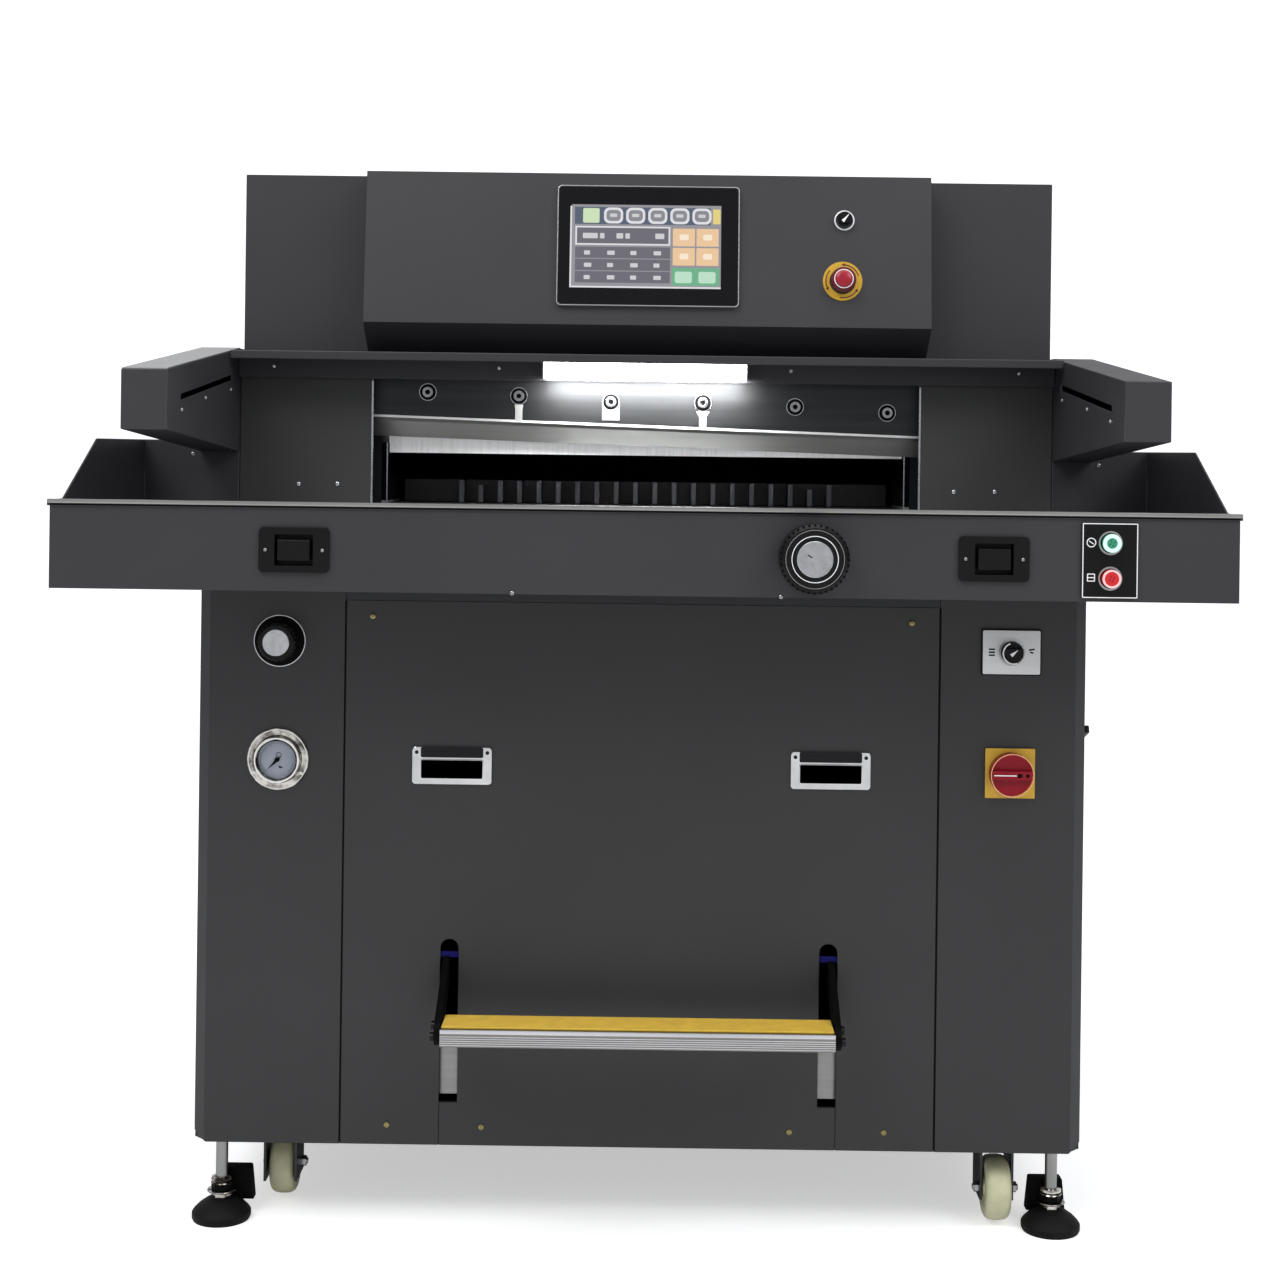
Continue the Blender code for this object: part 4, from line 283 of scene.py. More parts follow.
BAR_METAL = brushed("extruded_bar", (138, 134, 130), 0.34, ACROSS, 0.05)
PLATE_METAL = brushed("slot_plate_metal", (146, 146, 144), 0.34, ACROSS, 0.08)
RIM_BEAD_HIGHLIGHT = brushed("rim_bead_painted_highlight", (176, 176, 172), 0.32, ACROSS, 0.05)
PLATE_SHEET = brushed("printed_sheet", (214, 214, 214), 0.5, ACROSS, 0.05)
ARM_TOP_REFLECTION = brushed("arm_top_painted_reflection", (186, 186, 186), 0.42, ACROSS, 0.06)
FORK_STEEL = brushed("fork_steel", (66, 67, 68), 0.34, UPRIGHT)
CHROME = Finish("chrome_plate", (214, 214, 214), 0.08, 1.0).clouds(40.0, 0.12).uneven_gloss(60.0, 0.05).surface
AGED = Finish("aged_chrome", (150, 142, 132), 0.16, 1.0)
STAINS = AGED.ramp(AGED.noise(70.0), linear(58, 52, 46), linear(226, 222, 214), 0.38, 0.62)
AGED.link(STAINS, AGED.shader.inputs["Base Color"])
AGED_CHROME = AGED.uneven_gloss(60.0, 0.06).surface
GLOSSY = Finish("glossy_bezel", (14, 14, 17), 0.16).dull(0.2).clouds(30.0, 0.1).uneven_gloss(20.0, 0.04)
BEZEL = GLOSSY.sockets(Coat_Weight=0.08, Coat_Roughness=0.08).surface
CLEAR = Finish("dial_glass", (240, 244, 246), 0.04).clouds(20.0, 0.01)
GLASS = CLEAR.sockets(Transmission_Weight=1.0, IOR=1.12).surface
LAMP_GLOW = lit("lamp_diffuser", (252, 253, 255), 18.0, 0.01)
GREEN_GLOW = lit("lit_green", (46, 132, 100), 0.30)
RED_GLOW = lit("lit_red", (186, 26, 32), 0.30)
GREEN_RIM = lit("lit_green_rim", (200, 236, 222), 0.36)
RED_RIM = lit("lit_red_rim", (240, 184, 184), 0.34)

# The display's own colours
SHOW_BACK = shown("display_back", (150, 148, 154))
SHOW_BAR = shown("display_blue_grey", (86, 96, 114))
SHOW_LIME = shown("display_lime", (206, 228, 188))
SHOW_WHITE = shown("display_white", (226, 226, 230))
SHOW_GREY = shown("display_grey", (138, 138, 146))
SHOW_DARK = shown("display_dark", (108, 106, 116))
SHOW_TOKEN = shown("display_token", (208, 208, 212))
SHOW_YELLOW = shown("display_yellow", (228, 210, 130))
SHOW_TAN = shown("display_tan", (238, 200, 158))
SHOW_PALE = shown("display_pale", (252, 234, 210))
SHOW_GREEN = shown("display_green", (110, 178, 138))
SHOW_MINT = shown("display_mint", (190, 226, 202))


# Meshes

PAN_HEAD_SIDES = 20
OUTLINE_WELD = 0.000002
OUTLINE_FLAT_ANGLE = 0.002
SAME_LEVEL = 0.000001
CORNER_ANGLE = 0.5


def arc(radius, start, end, steps):
    """Points of an arc about the origin, its angles in degrees."""
    turns = [math.radians(start + (end - start) * step / steps) for step in range(steps + 1)]
    return [(radius * math.cos(turn), radius * math.sin(turn)) for turn in turns]


def circle(radius, steps=ROUND):
    turns = [2 * math.pi * step / steps for step in range(steps)]
    return [(radius * math.cos(turn), radius * math.sin(turn)) for turn in turns]


def rounded(width, height, radius, centre=(0.0, 0.0), steps=6):
    points = []
    for side, rise, start in ((1, -1, -90.0), (1, 1, 0.0), (-1, 1, 90.0), (-1, -1, 180.0)):
        middle = (centre[0] + side * (width / 2 - radius), centre[1] + rise * (height / 2 - radius))
        for step in range(steps + 1):
            turn = math.radians(start + 90.0 * step / steps)
            points.append((middle[0] + radius * math.cos(turn), middle[1] + radius * math.sin(turn)))
    return points


class Shape:
    """Solids gathered into one mesh, each given in a local frame."""

    def __init__(self):
        self.mesh = bmesh.new()

    def add(self, solid, place):
        solid.transform(place)
        spare = bpy.data.meshes.new("spare")
        solid.to_mesh(spare)
        solid.free()
        self.mesh.from_mesh(spare)
        bpy.data.meshes.remove(spare)
        return self

    def block(self, low, high, edge=EDGE, place=HERE):
        low, high = Vector(low), Vector(high)
        solid = bmesh.new()
        bmesh.ops.create_cube(solid, size=1.0)
        size = high - low
        bmesh.ops.transform(solid, matrix=Matrix.Diagonal((*size, 1.0)), verts=solid.verts)
        if edge:
            bmesh.ops.bevel(solid, geom=solid.edges[:], offset=min(edge, min(size) * EDGE_SHARE), **ROUNDING)
        bmesh.ops.translate(solid, vec=(low + high) / 2, verts=solid.verts)
        return self.add(solid, place)

    def turned(self, profile, place=HERE, steps=ROUND):
        """A profile of (radius, height) pairs, from the top down its outer side, turned about local Z."""
        solid = bmesh.new()
        rings = []
        for radius, height in profile:
            if radius < AXIS_REACH:
                rings.append([solid.verts.new((0.0, 0.0, height))])
            else:
                rings.append([solid.verts.new((x, y, height)) for x, y in circle(radius, steps)])
        if len(rings[0]) > 1 and len(rings[-1]) > 1:
            rings.append(rings[0])
        for upper, lower in zip(rings, rings[1:]):
            for step in range(steps):
                after = (step + 1) % steps
                if len(upper) == 1 and len(lower) == 1:
                    continue
                if len(upper) == 1:
                    solid.faces.new((upper[0], lower[step], lower[after]))
                elif len(lower) == 1:
                    solid.faces.new((upper[step], lower[0], upper[after]))
                else:
                    solid.faces.new((upper[step], lower[step], lower[after], upper[after]))
        bmesh.ops.recalc_face_normals(solid, faces=solid.faces)
        return self.add(solid, place)

    def drawn(self, outlines, start, end, edge=0.0, place=HERE):
        """Outlines in local X and Y, the outer one first, filled and drawn out along local Z."""
        curve = bpy.data.curves.new("outline", "CURVE")
        curve.dimensions = "2D"
        curve.fill_mode = "BOTH"
        curve.extrude = (end - start) / 2
        for outline in outlines:
            spline = curve.splines.new("POLY")
            spline.points.add(len(outline) - 1)
            spline.use_cyclic_u = True
            for point, (x, y) in zip(spline.points, outline):
                point.co = (x, y, 0.0, 1.0)
        holder = bpy.data.objects.new("outline", curve)
        bpy.context.scene.collection.objects.link(holder)
        depsgraph = bpy.context.evaluated_depsgraph_get()
        spare = bpy.data.meshes.new_from_object(holder.evaluated_get(depsgraph))
        bpy.data.objects.remove(holder)
        solid = bmesh.new()
        solid.from_mesh(spare)
        bpy.data.meshes.remove(spare)
        bmesh.ops.remove_doubles(solid, verts=solid.verts, dist=OUTLINE_WELD)
        bmesh.ops.dissolve_limit(solid, angle_limit=OUTLINE_FLAT_ANGLE, verts=solid.verts, edges=solid.edges)
        bmesh.ops.translate(solid, vec=(0.0, 0.0, (start + end) / 2), verts=solid.verts)
        if edge:
            top = [line for line in solid.edges if all(abs(vert.co.z - end) < SAME_LEVEL for vert in line.verts)]
            top = [line for line in top if line.calc_face_angle(0.0) > CORNER_ANGLE]
            bmesh.ops.bevel(solid, geom=top, offset=edge, **ROUNDING)
        return self.add(solid, place)

    def tube(self, place, outer, inner, low, high, steps=ROUND):
        return self.turned([(outer, high), (outer, low), (inner, low), (inner, high)], place, steps)

    def ring(self, place, radius, width, rise, base=0.0):
        return self.tube(place, radius, radius - width, base - SINK, base + rise)

    def rod(self, place, radius, low, high, steps=ROUND):
        return self.turned([(0.0, high), (radius, high), (radius, low), (0.0, low)], place, steps)

    def disc(self, place, radius, rise, base=0.0):
        """A flat disc with a chamfered edge."""
        outline = [(0.0, base + rise), (radius - rise / 2, base + rise), (radius, base + rise / 2)]
        return self.turned(outline + [(radius, base - SINK), (0.0, base - SINK)], place)

    def border(self, outer, inner, start, end, edge, place):
        """A rounded rectangle with a rounded hole, each given as width, height and corner."""
        return self.drawn([rounded(*outer), rounded(*inner)], start, end, edge, place)

    def screw(self, place, radius, rise=0.0016):
        """A pan head with a cross recess."""
        slot = radius * 0.62
        profile = [(0.0, rise * 0.45), (slot * 0.42, rise * 0.5), (slot * 0.5, rise * 0.98), (slot, rise)]
        profile += [(radius * 0.9, rise * 0.72), (radius, rise * 0.3), (radius, -0.0005), (0.0, -0.0005)]
        return self.turned(profile, place, PAN_HEAD_SIDES)

    def done(self, name, material, slot, body="machine"):
        mesh = bpy.data.meshes.new(name)
        bmesh.ops.recalc_face_normals(self.mesh, faces=self.mesh.faces)
        self.mesh.to_mesh(mesh)
        self.mesh.free()
        mesh.polygons.foreach_set("use_smooth", [True] * len(mesh.polygons))
        mesh.set_sharp_from_angle(angle=SMOOTH_ANGLE)
        mesh.materials.append(material)
        item = bpy.data.objects.new(name, mesh)
        bpy.context.scene.collection.objects.link(item)
        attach(item, body)
        return item


# Finishes and softened edges of the model's own nodes

NODE_WELD = 0.000005
NODE_FLAT_ANGLE = math.radians(0.5)
NODE_CORNER_ANGLE = math.radians(40.0)
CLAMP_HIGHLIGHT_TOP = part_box("clamp_beam")[0].z + 0.022
REAR_TABLE_SHADE = TABLE + 0.004
GAUGE_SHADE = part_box("back_gauge")[0].y + 0.038
# The clamp beam is near white along its lower front and grey above: the near-white band is a painted highlight of the
# lamp.
CLAMP_PAINTED_HIGHLIGHT = two_tone("clamp_painted_highlight", (254, 254, 252), (150, 151, 153), 0.05, "Z", CLAMP_HIGHLIGHT_TOP)
# The rear table is steel up to just over the table's top and near black above: painted shade inside the mouth.
REAR_TABLE_PAINTED_SHADE = two_tone("rear_table_painted_shade", (168, 169, 172), (16, 17, 20), 1.0, "Z", REAR_TABLE_SHADE)
# The back gauge's fingers are grey and its body behind them near black: painted shade behind the fingers.
GAUGE_PAINTED_SHADE = two_tone("back_gauge_painted_shade", (92, 94, 98), (10, 10, 12), 0.0, "Y", GAUGE_SHADE)

# Each finish with the width of its softened edges and its nodes; nodes that pieces replace have none
NODE_FINISHES = (
    (CHARCOAL, 0.0011, "front_apron left_side_table right_side_table upper_casing ledge_cover"),
    (CHARCOAL, 0.0011, "left_arm_housing right_arm_housing"),
    (COVER_GREY, 0.0011, "left_side_cover right_side_cover"),
    (COVER_GREY, 0.0009, "rear_panel centre_door lower_panel"),
    (CHEEK_GREY, 0.0009, "left_cheek_cover right_cheek_cover"),
    (CONSOLE_GREY, 0.0014, "console_housing"),
    (DARK_GREY, 0.0, "base_frame"),
    (INSIDE, 0.0, "portal_frame knife_cylinder"),
    (CARRIER_STEEL, 0.0008, "knife_carrier"),
    (BLADE_STEEL, 0.0, "knife_blade knife_slide"),
    (CLAMP_PAINTED_HIGHLIGHT, 0.0005, "clamp_beam"),
    (TABLE_STEEL, 0.0, "table_bed"),
    (REAR_TABLE_PAINTED_SHADE, 0.0, "rear_table"),
    (GAUGE_PAINTED_SHADE, 0.0, "back_gauge"),
    (ROD_STEEL, 0.0, "lead_screw"),
    (RED, 0.0, "cutting_stick"),
    (BLUE, 0.001, "power_pack"),
    (BLACK, 0.0005, "push_plate left_cut_plate right_cut_plate"),
    (BLACK, 0.0008, "left_cut_button right_cut_button"),
    (BLACK, 0.0, "side_latch gauge_needle key_switch_knob selector_knob handwheel"),
    (AGED_CHROME, 0.0, "pressure_gauge"),
    (CHROME, 0.0007, "left_pull_handle right_pull_handle"),
    (BEZEL, 0.0006, "touch_screen"),
    (SOFT_BLACK, 0.0006, "pedal_arms"),
    (BAR_METAL, 0.0008, "pedal_bar"),
    (GREEN_GLOW, 0.0, "start_button"),
    (RED_GLOW, 0.0, "stop_button"),
    (SWITCH_RED, 0.0, "main_switch_knob"),
    (FORK_STEEL, 0.0, "front_left_castor_fork front_right_castor_fork"),
)


def dress(item, material, edge):
    """A finish for a node; a bevel softens flat sheet work, and a node without one is shaded round."""
    item.data.materials.clear()
    item.data.materials.append(material)
    item.data.polygons.foreach_set("use_smooth", [not edge] * len(item.data.polygons))
    if not edge:
        item.data.set_sharp_from_angle(angle=SMOOTH_ANGLE)
        return
    item.modifiers.new("weld", "WELD").merge_threshold = NODE_WELD
    flat = item.modifiers.new("flat", "DECIMATE")
    flat.decimate_type = "DISSOLVE"
    flat.angle_limit = NODE_FLAT_ANGLE
    bevel = item.modifiers.new("bevel", "BEVEL")
    bevel.width = edge
    bevel.segments = ROUNDING["segments"]
    bevel.limit_method = "ANGLE"
    bevel.angle_limit = NODE_CORNER_ANGLE


for finish, edge, names in NODE_FINISHES:
    for name in names.split():
        dress(NODES[name], finish, edge)

# Screws

CUT_SCREW_ACROSS = 0.0310
CUT_PLACE = 0.380
CUT_DROP = -0.0390
CHEEK_SCREWS = ((-0.4444, 0.8654), (-0.3947, 0.8661), (0.3954, 0.8658), (0.4476, 0.8665))
RAIL_SCREWS = ((-0.4749, 1.0154), (-0.1881, 1.0165), (0.1838, 1.0174), (0.4739, 1.0180))
DOOR_SCREWS = ((-0.3158, 0.7164), (0.3140, 0.7165), (-0.2923, 0.1222), (0.2885, 0.1212),
               (-0.1818, 0.1209), (0.1781, 0.1202))
RIM_SCREWS = ((0.1497, -0.0830), (-0.1425, -0.0830))
WING_SCREWS = ((-0.5801, 0.9018), (0.5801, 0.9018))
ARM_SCREWS = ((-0.5115, 0.9530), (-0.3880, 0.9692), (-0.2420, 0.9834))
CASING_SCREWS = ((-0.1300, 1.0500), (0.0800, 1.0500), (-0.1300, 1.2350), (0.0800, 1.2350))
REAR_SCREWS = [(hand * side, up) for hand in (-1, 1) for side in (0.485, 0.165) for up in (0.135, 0.455, 0.775)]


def screw_set(name, places, material, radius):
    heads = Shape()
    for place in places:
        heads.screw(place, radius)
    return heads.done(name, material, "chrome")


for name, face, places, finish, radius in (
    ("cheek_screws", CHEEK, CHEEK_SCREWS, ALUMINIUM, 0.0028),
    ("rail_screws", RAIL, RAIL_SCREWS, ALUMINIUM, 0.0024),
    ("door_screws", CABINET, DOOR_SCREWS, BRASS_SCREW, 0.0036),
    ("rim_screws", APRON, RIM_SCREWS, SCREW, 0.0024),
    ("wing_screws", CHEEK, WING_SCREWS, SCREW, 0.0028),
    ("rear_panel_screws", REAR, REAR_SCREWS, SCREW, 0.0036),
):
    screw_set(name, [at(face, *place) for place in places], finish, radius)
for name, hand in SIDES:
    arm = side_matrix(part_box(f"{name}_arm_housing")[0 if hand > 0 else 1].x, -hand)
    screw_set(f"{name}_arm_screws", [at(arm, -hand * along, up) for along, up in ARM_SCREWS], ALUMINIUM, 0.0020)
    casing = side_matrix(hand * CABINET_SIDE, hand)
    screw_set(f"{name}_casing_screws", [at(casing, hand * along, up) for along, up in CASING_SCREWS], SCREW, 0.0032)
    plate = front_of(f"{name}_cut_plate", APRON)
    places = [at(APRON, hand * CUT_PLACE + side * CUT_SCREW_ACROSS, CUT_DROP, plate) for side in (-1, 1)]
    screw_set(f"{name}_cut_screws", places, SCREW, 0.0019)

# Knife bolts in their counterbores, the plates under them and the ground edge of the carrier

KNIFE_BOLTS = ((-0.2824, 0.9858), (-0.1646, 0.9822), (-0.0456, 0.9759), (0.0733, 0.9762), (0.1923, 0.9725),
               (0.3112, 0.9663))
WELL, WELL_BASE = 0.0104, -0.0004
BOLT_PLATE, BOLT_PLATE_DROP = 0.0112, -0.0235
STEM, STEM_FOOT, STEM_NECK, STEM_TOP = 0.0046, -0.0320, -0.0180, -0.0112
rims, wells, bolts, tabs = Shape(), Shape(), Shape(), Shape()
seats = [at(CARRIER, *place) for place in KNIFE_BOLTS]
for seat in seats:
    rims.tube(seat, BOLT_PLATE, WELL, WELL_BASE, 0.0010)
    wells.turned([(WELL, 0.0014), (WELL, WELL_BASE), (0.0076, WELL_BASE), (0.0080, 0.0014)], seat)
    wells.rod(seat, 0.0078, WELL_BASE, 0.0004)
    bolts.drawn([circle(0.0068), circle(0.0034, 6)], 0.0003, 0.0048, 0.0006, seat)
for index, flare in ((1, 0.0010), (3, 0.0040)):
    half = [(STEM, STEM_FOOT), (STEM, STEM_NECK), (STEM + flare, STEM_TOP)]
    stem = [(-STEM, STEM_FOOT)] + half + [(-STEM - flare, STEM_TOP), (-STEM, STEM_NECK)]
    tabs.drawn([stem], -SINK, 0.0010, 0.0003, seats[index])
outline = arc(BOLT_PLATE, 0.0, 180.0, 16) + [(-BOLT_PLATE, BOLT_PLATE_DROP), (BOLT_PLATE, BOLT_PLATE_DROP)]
tabs.drawn([outline, circle(0.0103)], -SINK, 0.0018, 0.0003, seats[2])
rims.done("knife_bolt_rims", ALUMINIUM, "brushed_steel", "knife")
wells.done("knife_bolt_wells", SOFT_BLACK, "dark_paint", "knife")
bolts.done("knife_bolts", SCREW, "chrome", "knife")
tabs.done("knife_bolt_plates", CLAMP_STEEL, "brushed_steel", "knife")


def carrier_edge():
    """A ground chamfer along the lower edge of the carrier's front, coloured near white as a painted highlight of the
    lamp.
    """
    points = [vert.co for vert in NODES["knife_carrier"].data.vertices if vert.co.y < CARRIER_FRONT + 0.0005]
    left = min((point for point in points if point.x < -0.30), key=lambda point: point.z)
    right = min((point for point in points if point.x > 0.30), key=lambda point: point.z)
    middle, run = (left + right) / 2, right - left
    half = run.length / 2 - 0.001
    place = spun(at(CARRIER, middle.x, middle.z), math.atan2(run.z, run.x))
    strip = Shape().block((-half, 0.0001, -0.0003), (half, 0.0032, 0.0006), 0.0003, place)
    strip.done("carrier_edge", EDGE_STEEL_HIGHLIGHT, "brushed_steel", "knife")


carrier_edge()

# Strips on the edges of the mouth and of the side guides in it

MOUTH_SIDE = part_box("right_cheek_cover")[0].x - 0.0002
MOUTH_STRIP, MOUTH_STRIP_TOP = 0.0024, 1.0000
GUIDE_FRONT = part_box("rear_table")[0].y
GUIDE_INNER, GUIDE_OUTER, GUIDE_RISE = 0.3377, 0.3392, 0.0795


def on_both_sides(shape, low, high, edge=EDGE):
    """A block and its mirror image across the middle of the machine."""
    shape.block((-high[0], *low[1:]), (-low[0], *high[1:]), edge)
    return shape.block(low, high, edge)


strips = on_both_sides(Shape(), (MOUTH_SIDE - MOUTH_STRIP, CHEEK_FRONT - 0.0004, TABLE + 0.0006),
                       (MOUTH_SIDE, CHEEK_FRONT + 0.0040, MOUTH_STRIP_TOP))
on_both_sides(strips, (GUIDE_INNER, GUIDE_FRONT - 0.0004, TABLE + 0.0008),
              (GUIDE_OUTER, GUIDE_FRONT + 0.0010, TABLE + GUIDE_RISE), 0.0002)
strips.done("mouth_edge_strips", ALUMINIUM, "aluminium")

# Lamp: its diffuser under a holder with two end caps

LAMP_LEFT, LAMP_RIGHT, LAMP_TOP = -0.1300, 0.1262, 1.0245
LAMP_GAP, LAMP_CAP = 0.0002, 0.0025
lamp_low, lamp_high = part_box("lamp")
diffuser = Shape().block((LAMP_LEFT, lamp_low.y, lamp_low.z + 0.0003),
                         (LAMP_RIGHT, lamp_high.y - 0.0010, LAMP_TOP), 0.0022)
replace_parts(diffuser.done("lamp_bar", LAMP_GLOW, "white_plastic"), "lamp")
holder = Shape().block((LAMP_LEFT, lamp_low.y + 0.0010, LAMP_TOP + LAMP_GAP), (LAMP_RIGHT, lamp_high.y, lamp_high.z))
for start, end in ((LAMP_LEFT - LAMP_CAP, LAMP_LEFT - LAMP_GAP), (LAMP_RIGHT + LAMP_GAP, LAMP_RIGHT + LAMP_CAP)):
    holder.block((start, lamp_low.y + 0.0020, lamp_low.z + 0.0010), (end, lamp_high.y, lamp_high.z), 0.0008)
holder.done("lamp_holder", DARK_GREY, "dark_paint")

# Along the table's rim a lighter bead as painted highlight and a dark strip under it as painted shadow; seals beside
# the cheek covers, a light sheet on the left arm's top as painted reflection, door gasket

SEAL_INNER, SEAL_OUTER, SEAL_FRONT, SEAL_BACK, SEAL_TOP = 0.5194, 0.5214, -0.1775, -0.1740, 0.9400
rim_low, rim_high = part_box("front_apron")
door_low, door_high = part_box("centre_door")


def rim_strip(end, front, back, low, high, edge=EDGE):
    """A strip along the rim, measured from its ends, its front and its top."""
    return Shape().block((rim_low.x + end, rim_low.y - front, rim_high.z + low),
                         (rim_high.x - end, rim_low.y + back, rim_high.z + high), edge)


def arm_top(node, inset=0.0010, step=0.0008, thick=0.0010):
    """A sheet along the sloping top of an arm, from its front corner to its level part."""
    low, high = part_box(node)
    corners = [vert.co for vert in NODES[node].data.vertices]
    front = max((point for point in corners if point.y < low.y + EDGE), key=lambda point: point.z)
    back = min((point for point in corners if point.z > high.z - EDGE), key=lambda point: point.y)
    outline = [(front.y + step, front.z + SINK), (back.y, back.z + SINK),
               (back.y, back.z + thick), (front.y + step, front.z + SINK + thick)]
    return Shape().drawn([outline], low.x + inset, high.x - inset, 0.0, LENGTHWISE)


# A lighter strip along the rim's top: a painted highlight on the charcoal rim.
rim_strip(0.0002, 0.0008, 0.0022, -0.0042, 0.0004, 0.0014).done("rim_bead_painted_highlight", RIM_BEAD_HIGHLIGHT, "charcoal_paint")
seals = on_both_sides(Shape(), (SEAL_INNER, SEAL_FRONT, TABLE + 0.0010), (SEAL_OUTER, SEAL_BACK, SEAL_TOP), 0.0)
seals.done("seam_seals", SOFT_BLACK, "black_rubber")
# A light sheet on the left arm's top only: a painted reflection, and the right arm's top keeps the charcoal paint.
arm_top("left_arm_housing").done("left_arm_top_reflection", ARM_TOP_REFLECTION, "brushed_steel")
# A black strip just under the bead: painted shadow under the rim's fold.
rim_strip(0.0030, 0.0003, 0.0006, -0.0064, -0.0046).done("rim_painted_shadow", SOFT_BLACK, "black_rubber")
gasket = on_both_sides(Shape(), (door_high.x - 0.0005, CABINET_FRONT - 0.0003, door_low.z + 0.002),
                       (door_high.x + 0.0017, CABINET_FRONT + 0.0008, door_high.z - 0.001), 0.0)
gasket.done("door_gasket", SOFT_BLACK, "black_rubber")

# Pull handles: dark lining, a dark glossy band on the chrome as a painted reflection, raised lip and screws

HANDLE_ACROSS, HANDLE_UP, HANDLE_DEPTH = 0.221, 0.539, 0.0200
HANDLE_MOUTH, HANDLE_LINER = (0.0697, 0.0193, 0.0010), (0.0689, 0.0185, 0.0008)
HANDLE_LIP, HANDLE_LIP_HOLE = (0.0740, 0.0236, 0.0030), (0.0702, 0.0198, 0.0012)
HANDLE_REFLECTION_BAND = (0.0730, 0.0122, 0.0020, (0.0, 0.0196))
HANDLE_EAR_ACROSS, HANDLE_EAR_UP = 0.0412, 0.0195
for name, hand in SIDES:
    place = at(CABINET, hand * HANDLE_ACROSS, HANDLE_UP)
    lining = Shape().border(HANDLE_MOUTH, HANDLE_LINER, -HANDLE_DEPTH, -0.0004, 0.0, place)
    lining.block((-0.0345, -0.0093, -HANDLE_DEPTH - 0.0004), (0.0345, 0.0093, -HANDLE_DEPTH + 0.0001), 0.0, place)
    lining.done(f"{name}_handle_lining", SOFT_BLACK, "chrome")
    face = at(place, 0.0, 0.0, front_of(f"{name}_pull_handle", CABINET))
    band = Shape().drawn([rounded(*HANDLE_REFLECTION_BAND)], -SINK, 0.0003, 0.0, face)
    band.block((-0.0300, 0.0190, 0.0), (-0.0050, 0.0205, 0.0005), 0.0002, face)
    band.done(f"{name}_handle_reflection", BEZEL, "chrome")
    lip = Shape().border(HANDLE_LIP, HANDLE_LIP_HOLE, -SINK, 0.0014, 0.0008, face)
    lip.done(f"{name}_handle_lip", CHROME, "chrome")
    ears = [at(face, side * HANDLE_EAR_ACROSS, HANDLE_EAR_UP) for side in (-1, 1)]
    screw_set(f"{name}_handle_screws", ears, DARK_BOLT, 0.0022)


# Handwheel face


def ribs(place, count, low, high, edge):
    """The same block so many times round a place."""
    shape = Shape()
    for spoke in around(place, count):
        shape.block(low, high, edge, spoke)
    return shape


def node_face(node, across, up):
    """The middle of a turned node's front face."""
    return at(face_matrix((0.0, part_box(node)[0].y, 0.0)), across, up)


WHEEL_ACROSS, WHEEL_UP = 0.183, 0.800
WHEEL_MARK_TURN = -0.55
WHEEL_FACE = node_face("handwheel", WHEEL_ACROSS, WHEEL_UP)
white_ring = Shape().ring(WHEEL_FACE, 0.0252, 0.0008, 0.0003)
white_ring.done("handwheel_white_ring", WHITE, "white_plastic", "handwheel")
outer_ring = Shape().ring(WHEEL_FACE, 0.0316, 0.0005, 0.0002)
outer_ring.done("handwheel_outer_ring", GREY_PRINT, "white_plastic", "handwheel")
Shape().disc(WHEEL_FACE, 0.0195, 0.0010).done("handwheel_disc", DISC, "aluminium", "handwheel")
mark = Shape().block((-0.0090, -0.0006, 0.0008), (-0.0035, 0.0006, 0.0012), 0.0001, spun(WHEEL_FACE, WHEEL_MARK_TURN))
mark.done("handwheel_mark", SOFT_BLACK, "black_plastic", "handwheel")
grips = ribs(WHEEL_FACE, 36, (0.0362, -0.0012, -0.0090), (0.0376, 0.0012, -0.0015), 0.0005)
grips.done("handwheel_grip", SOFT_BLACK, "black_plastic", "handwheel")

# Pressure knob

LEFT_PILLAR, PRESSURE_UP, GAUGE_UP = -0.4245, 0.686, 0.548
KNOB_SIDE, KNOB_SKIRT, KNOB_SHAFT = 0.0222, -0.0242, 0.0060
PRESSURE = at(CABINET, LEFT_PILLAR, PRESSURE_UP)
KNOB_FACE = node_face("pressure_knob", LEFT_PILLAR, PRESSURE_UP)
KNOB_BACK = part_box("pressure_knob")[0].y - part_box("pressure_knob")[1].y
Shape().disc(PRESSURE, 0.0298, 0.0004).done("pressure_plate", SOFT_BLACK, "black_plastic")
Shape().ring(PRESSURE, 0.0303, 0.0009, 0.0008).done("pressure_ring", WHITE, "white_plastic")
knob = Shape().turned([(0.0, 0.0), (0.0196, 0.0), (0.0208, -0.0010), (KNOB_SIDE, -0.0230), (KNOB_SIDE, KNOB_SKIRT),
                       (KNOB_SHAFT, KNOB_SKIRT), (KNOB_SHAFT, KNOB_BACK), (0.0, KNOB_BACK)], KNOB_FACE)
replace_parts(knob.done("pressure_knob_body", BLACK, "black_plastic", "pressure_knob"), "pressure_knob")
Shape().disc(KNOB_FACE, 0.0154, 0.0010).done("pressure_knob_disc", DISC, "aluminium", "pressure_knob")
flutes = ribs(KNOB_FACE, 24, (0.0200, -0.0014, -0.0225), (0.0224, 0.0014, -0.0040), 0.0006)
flutes.done("pressure_knob_grip", BLACK, "black_plastic", "pressure_knob")

# Pressure gauge; bases are heights over the cabinet's face

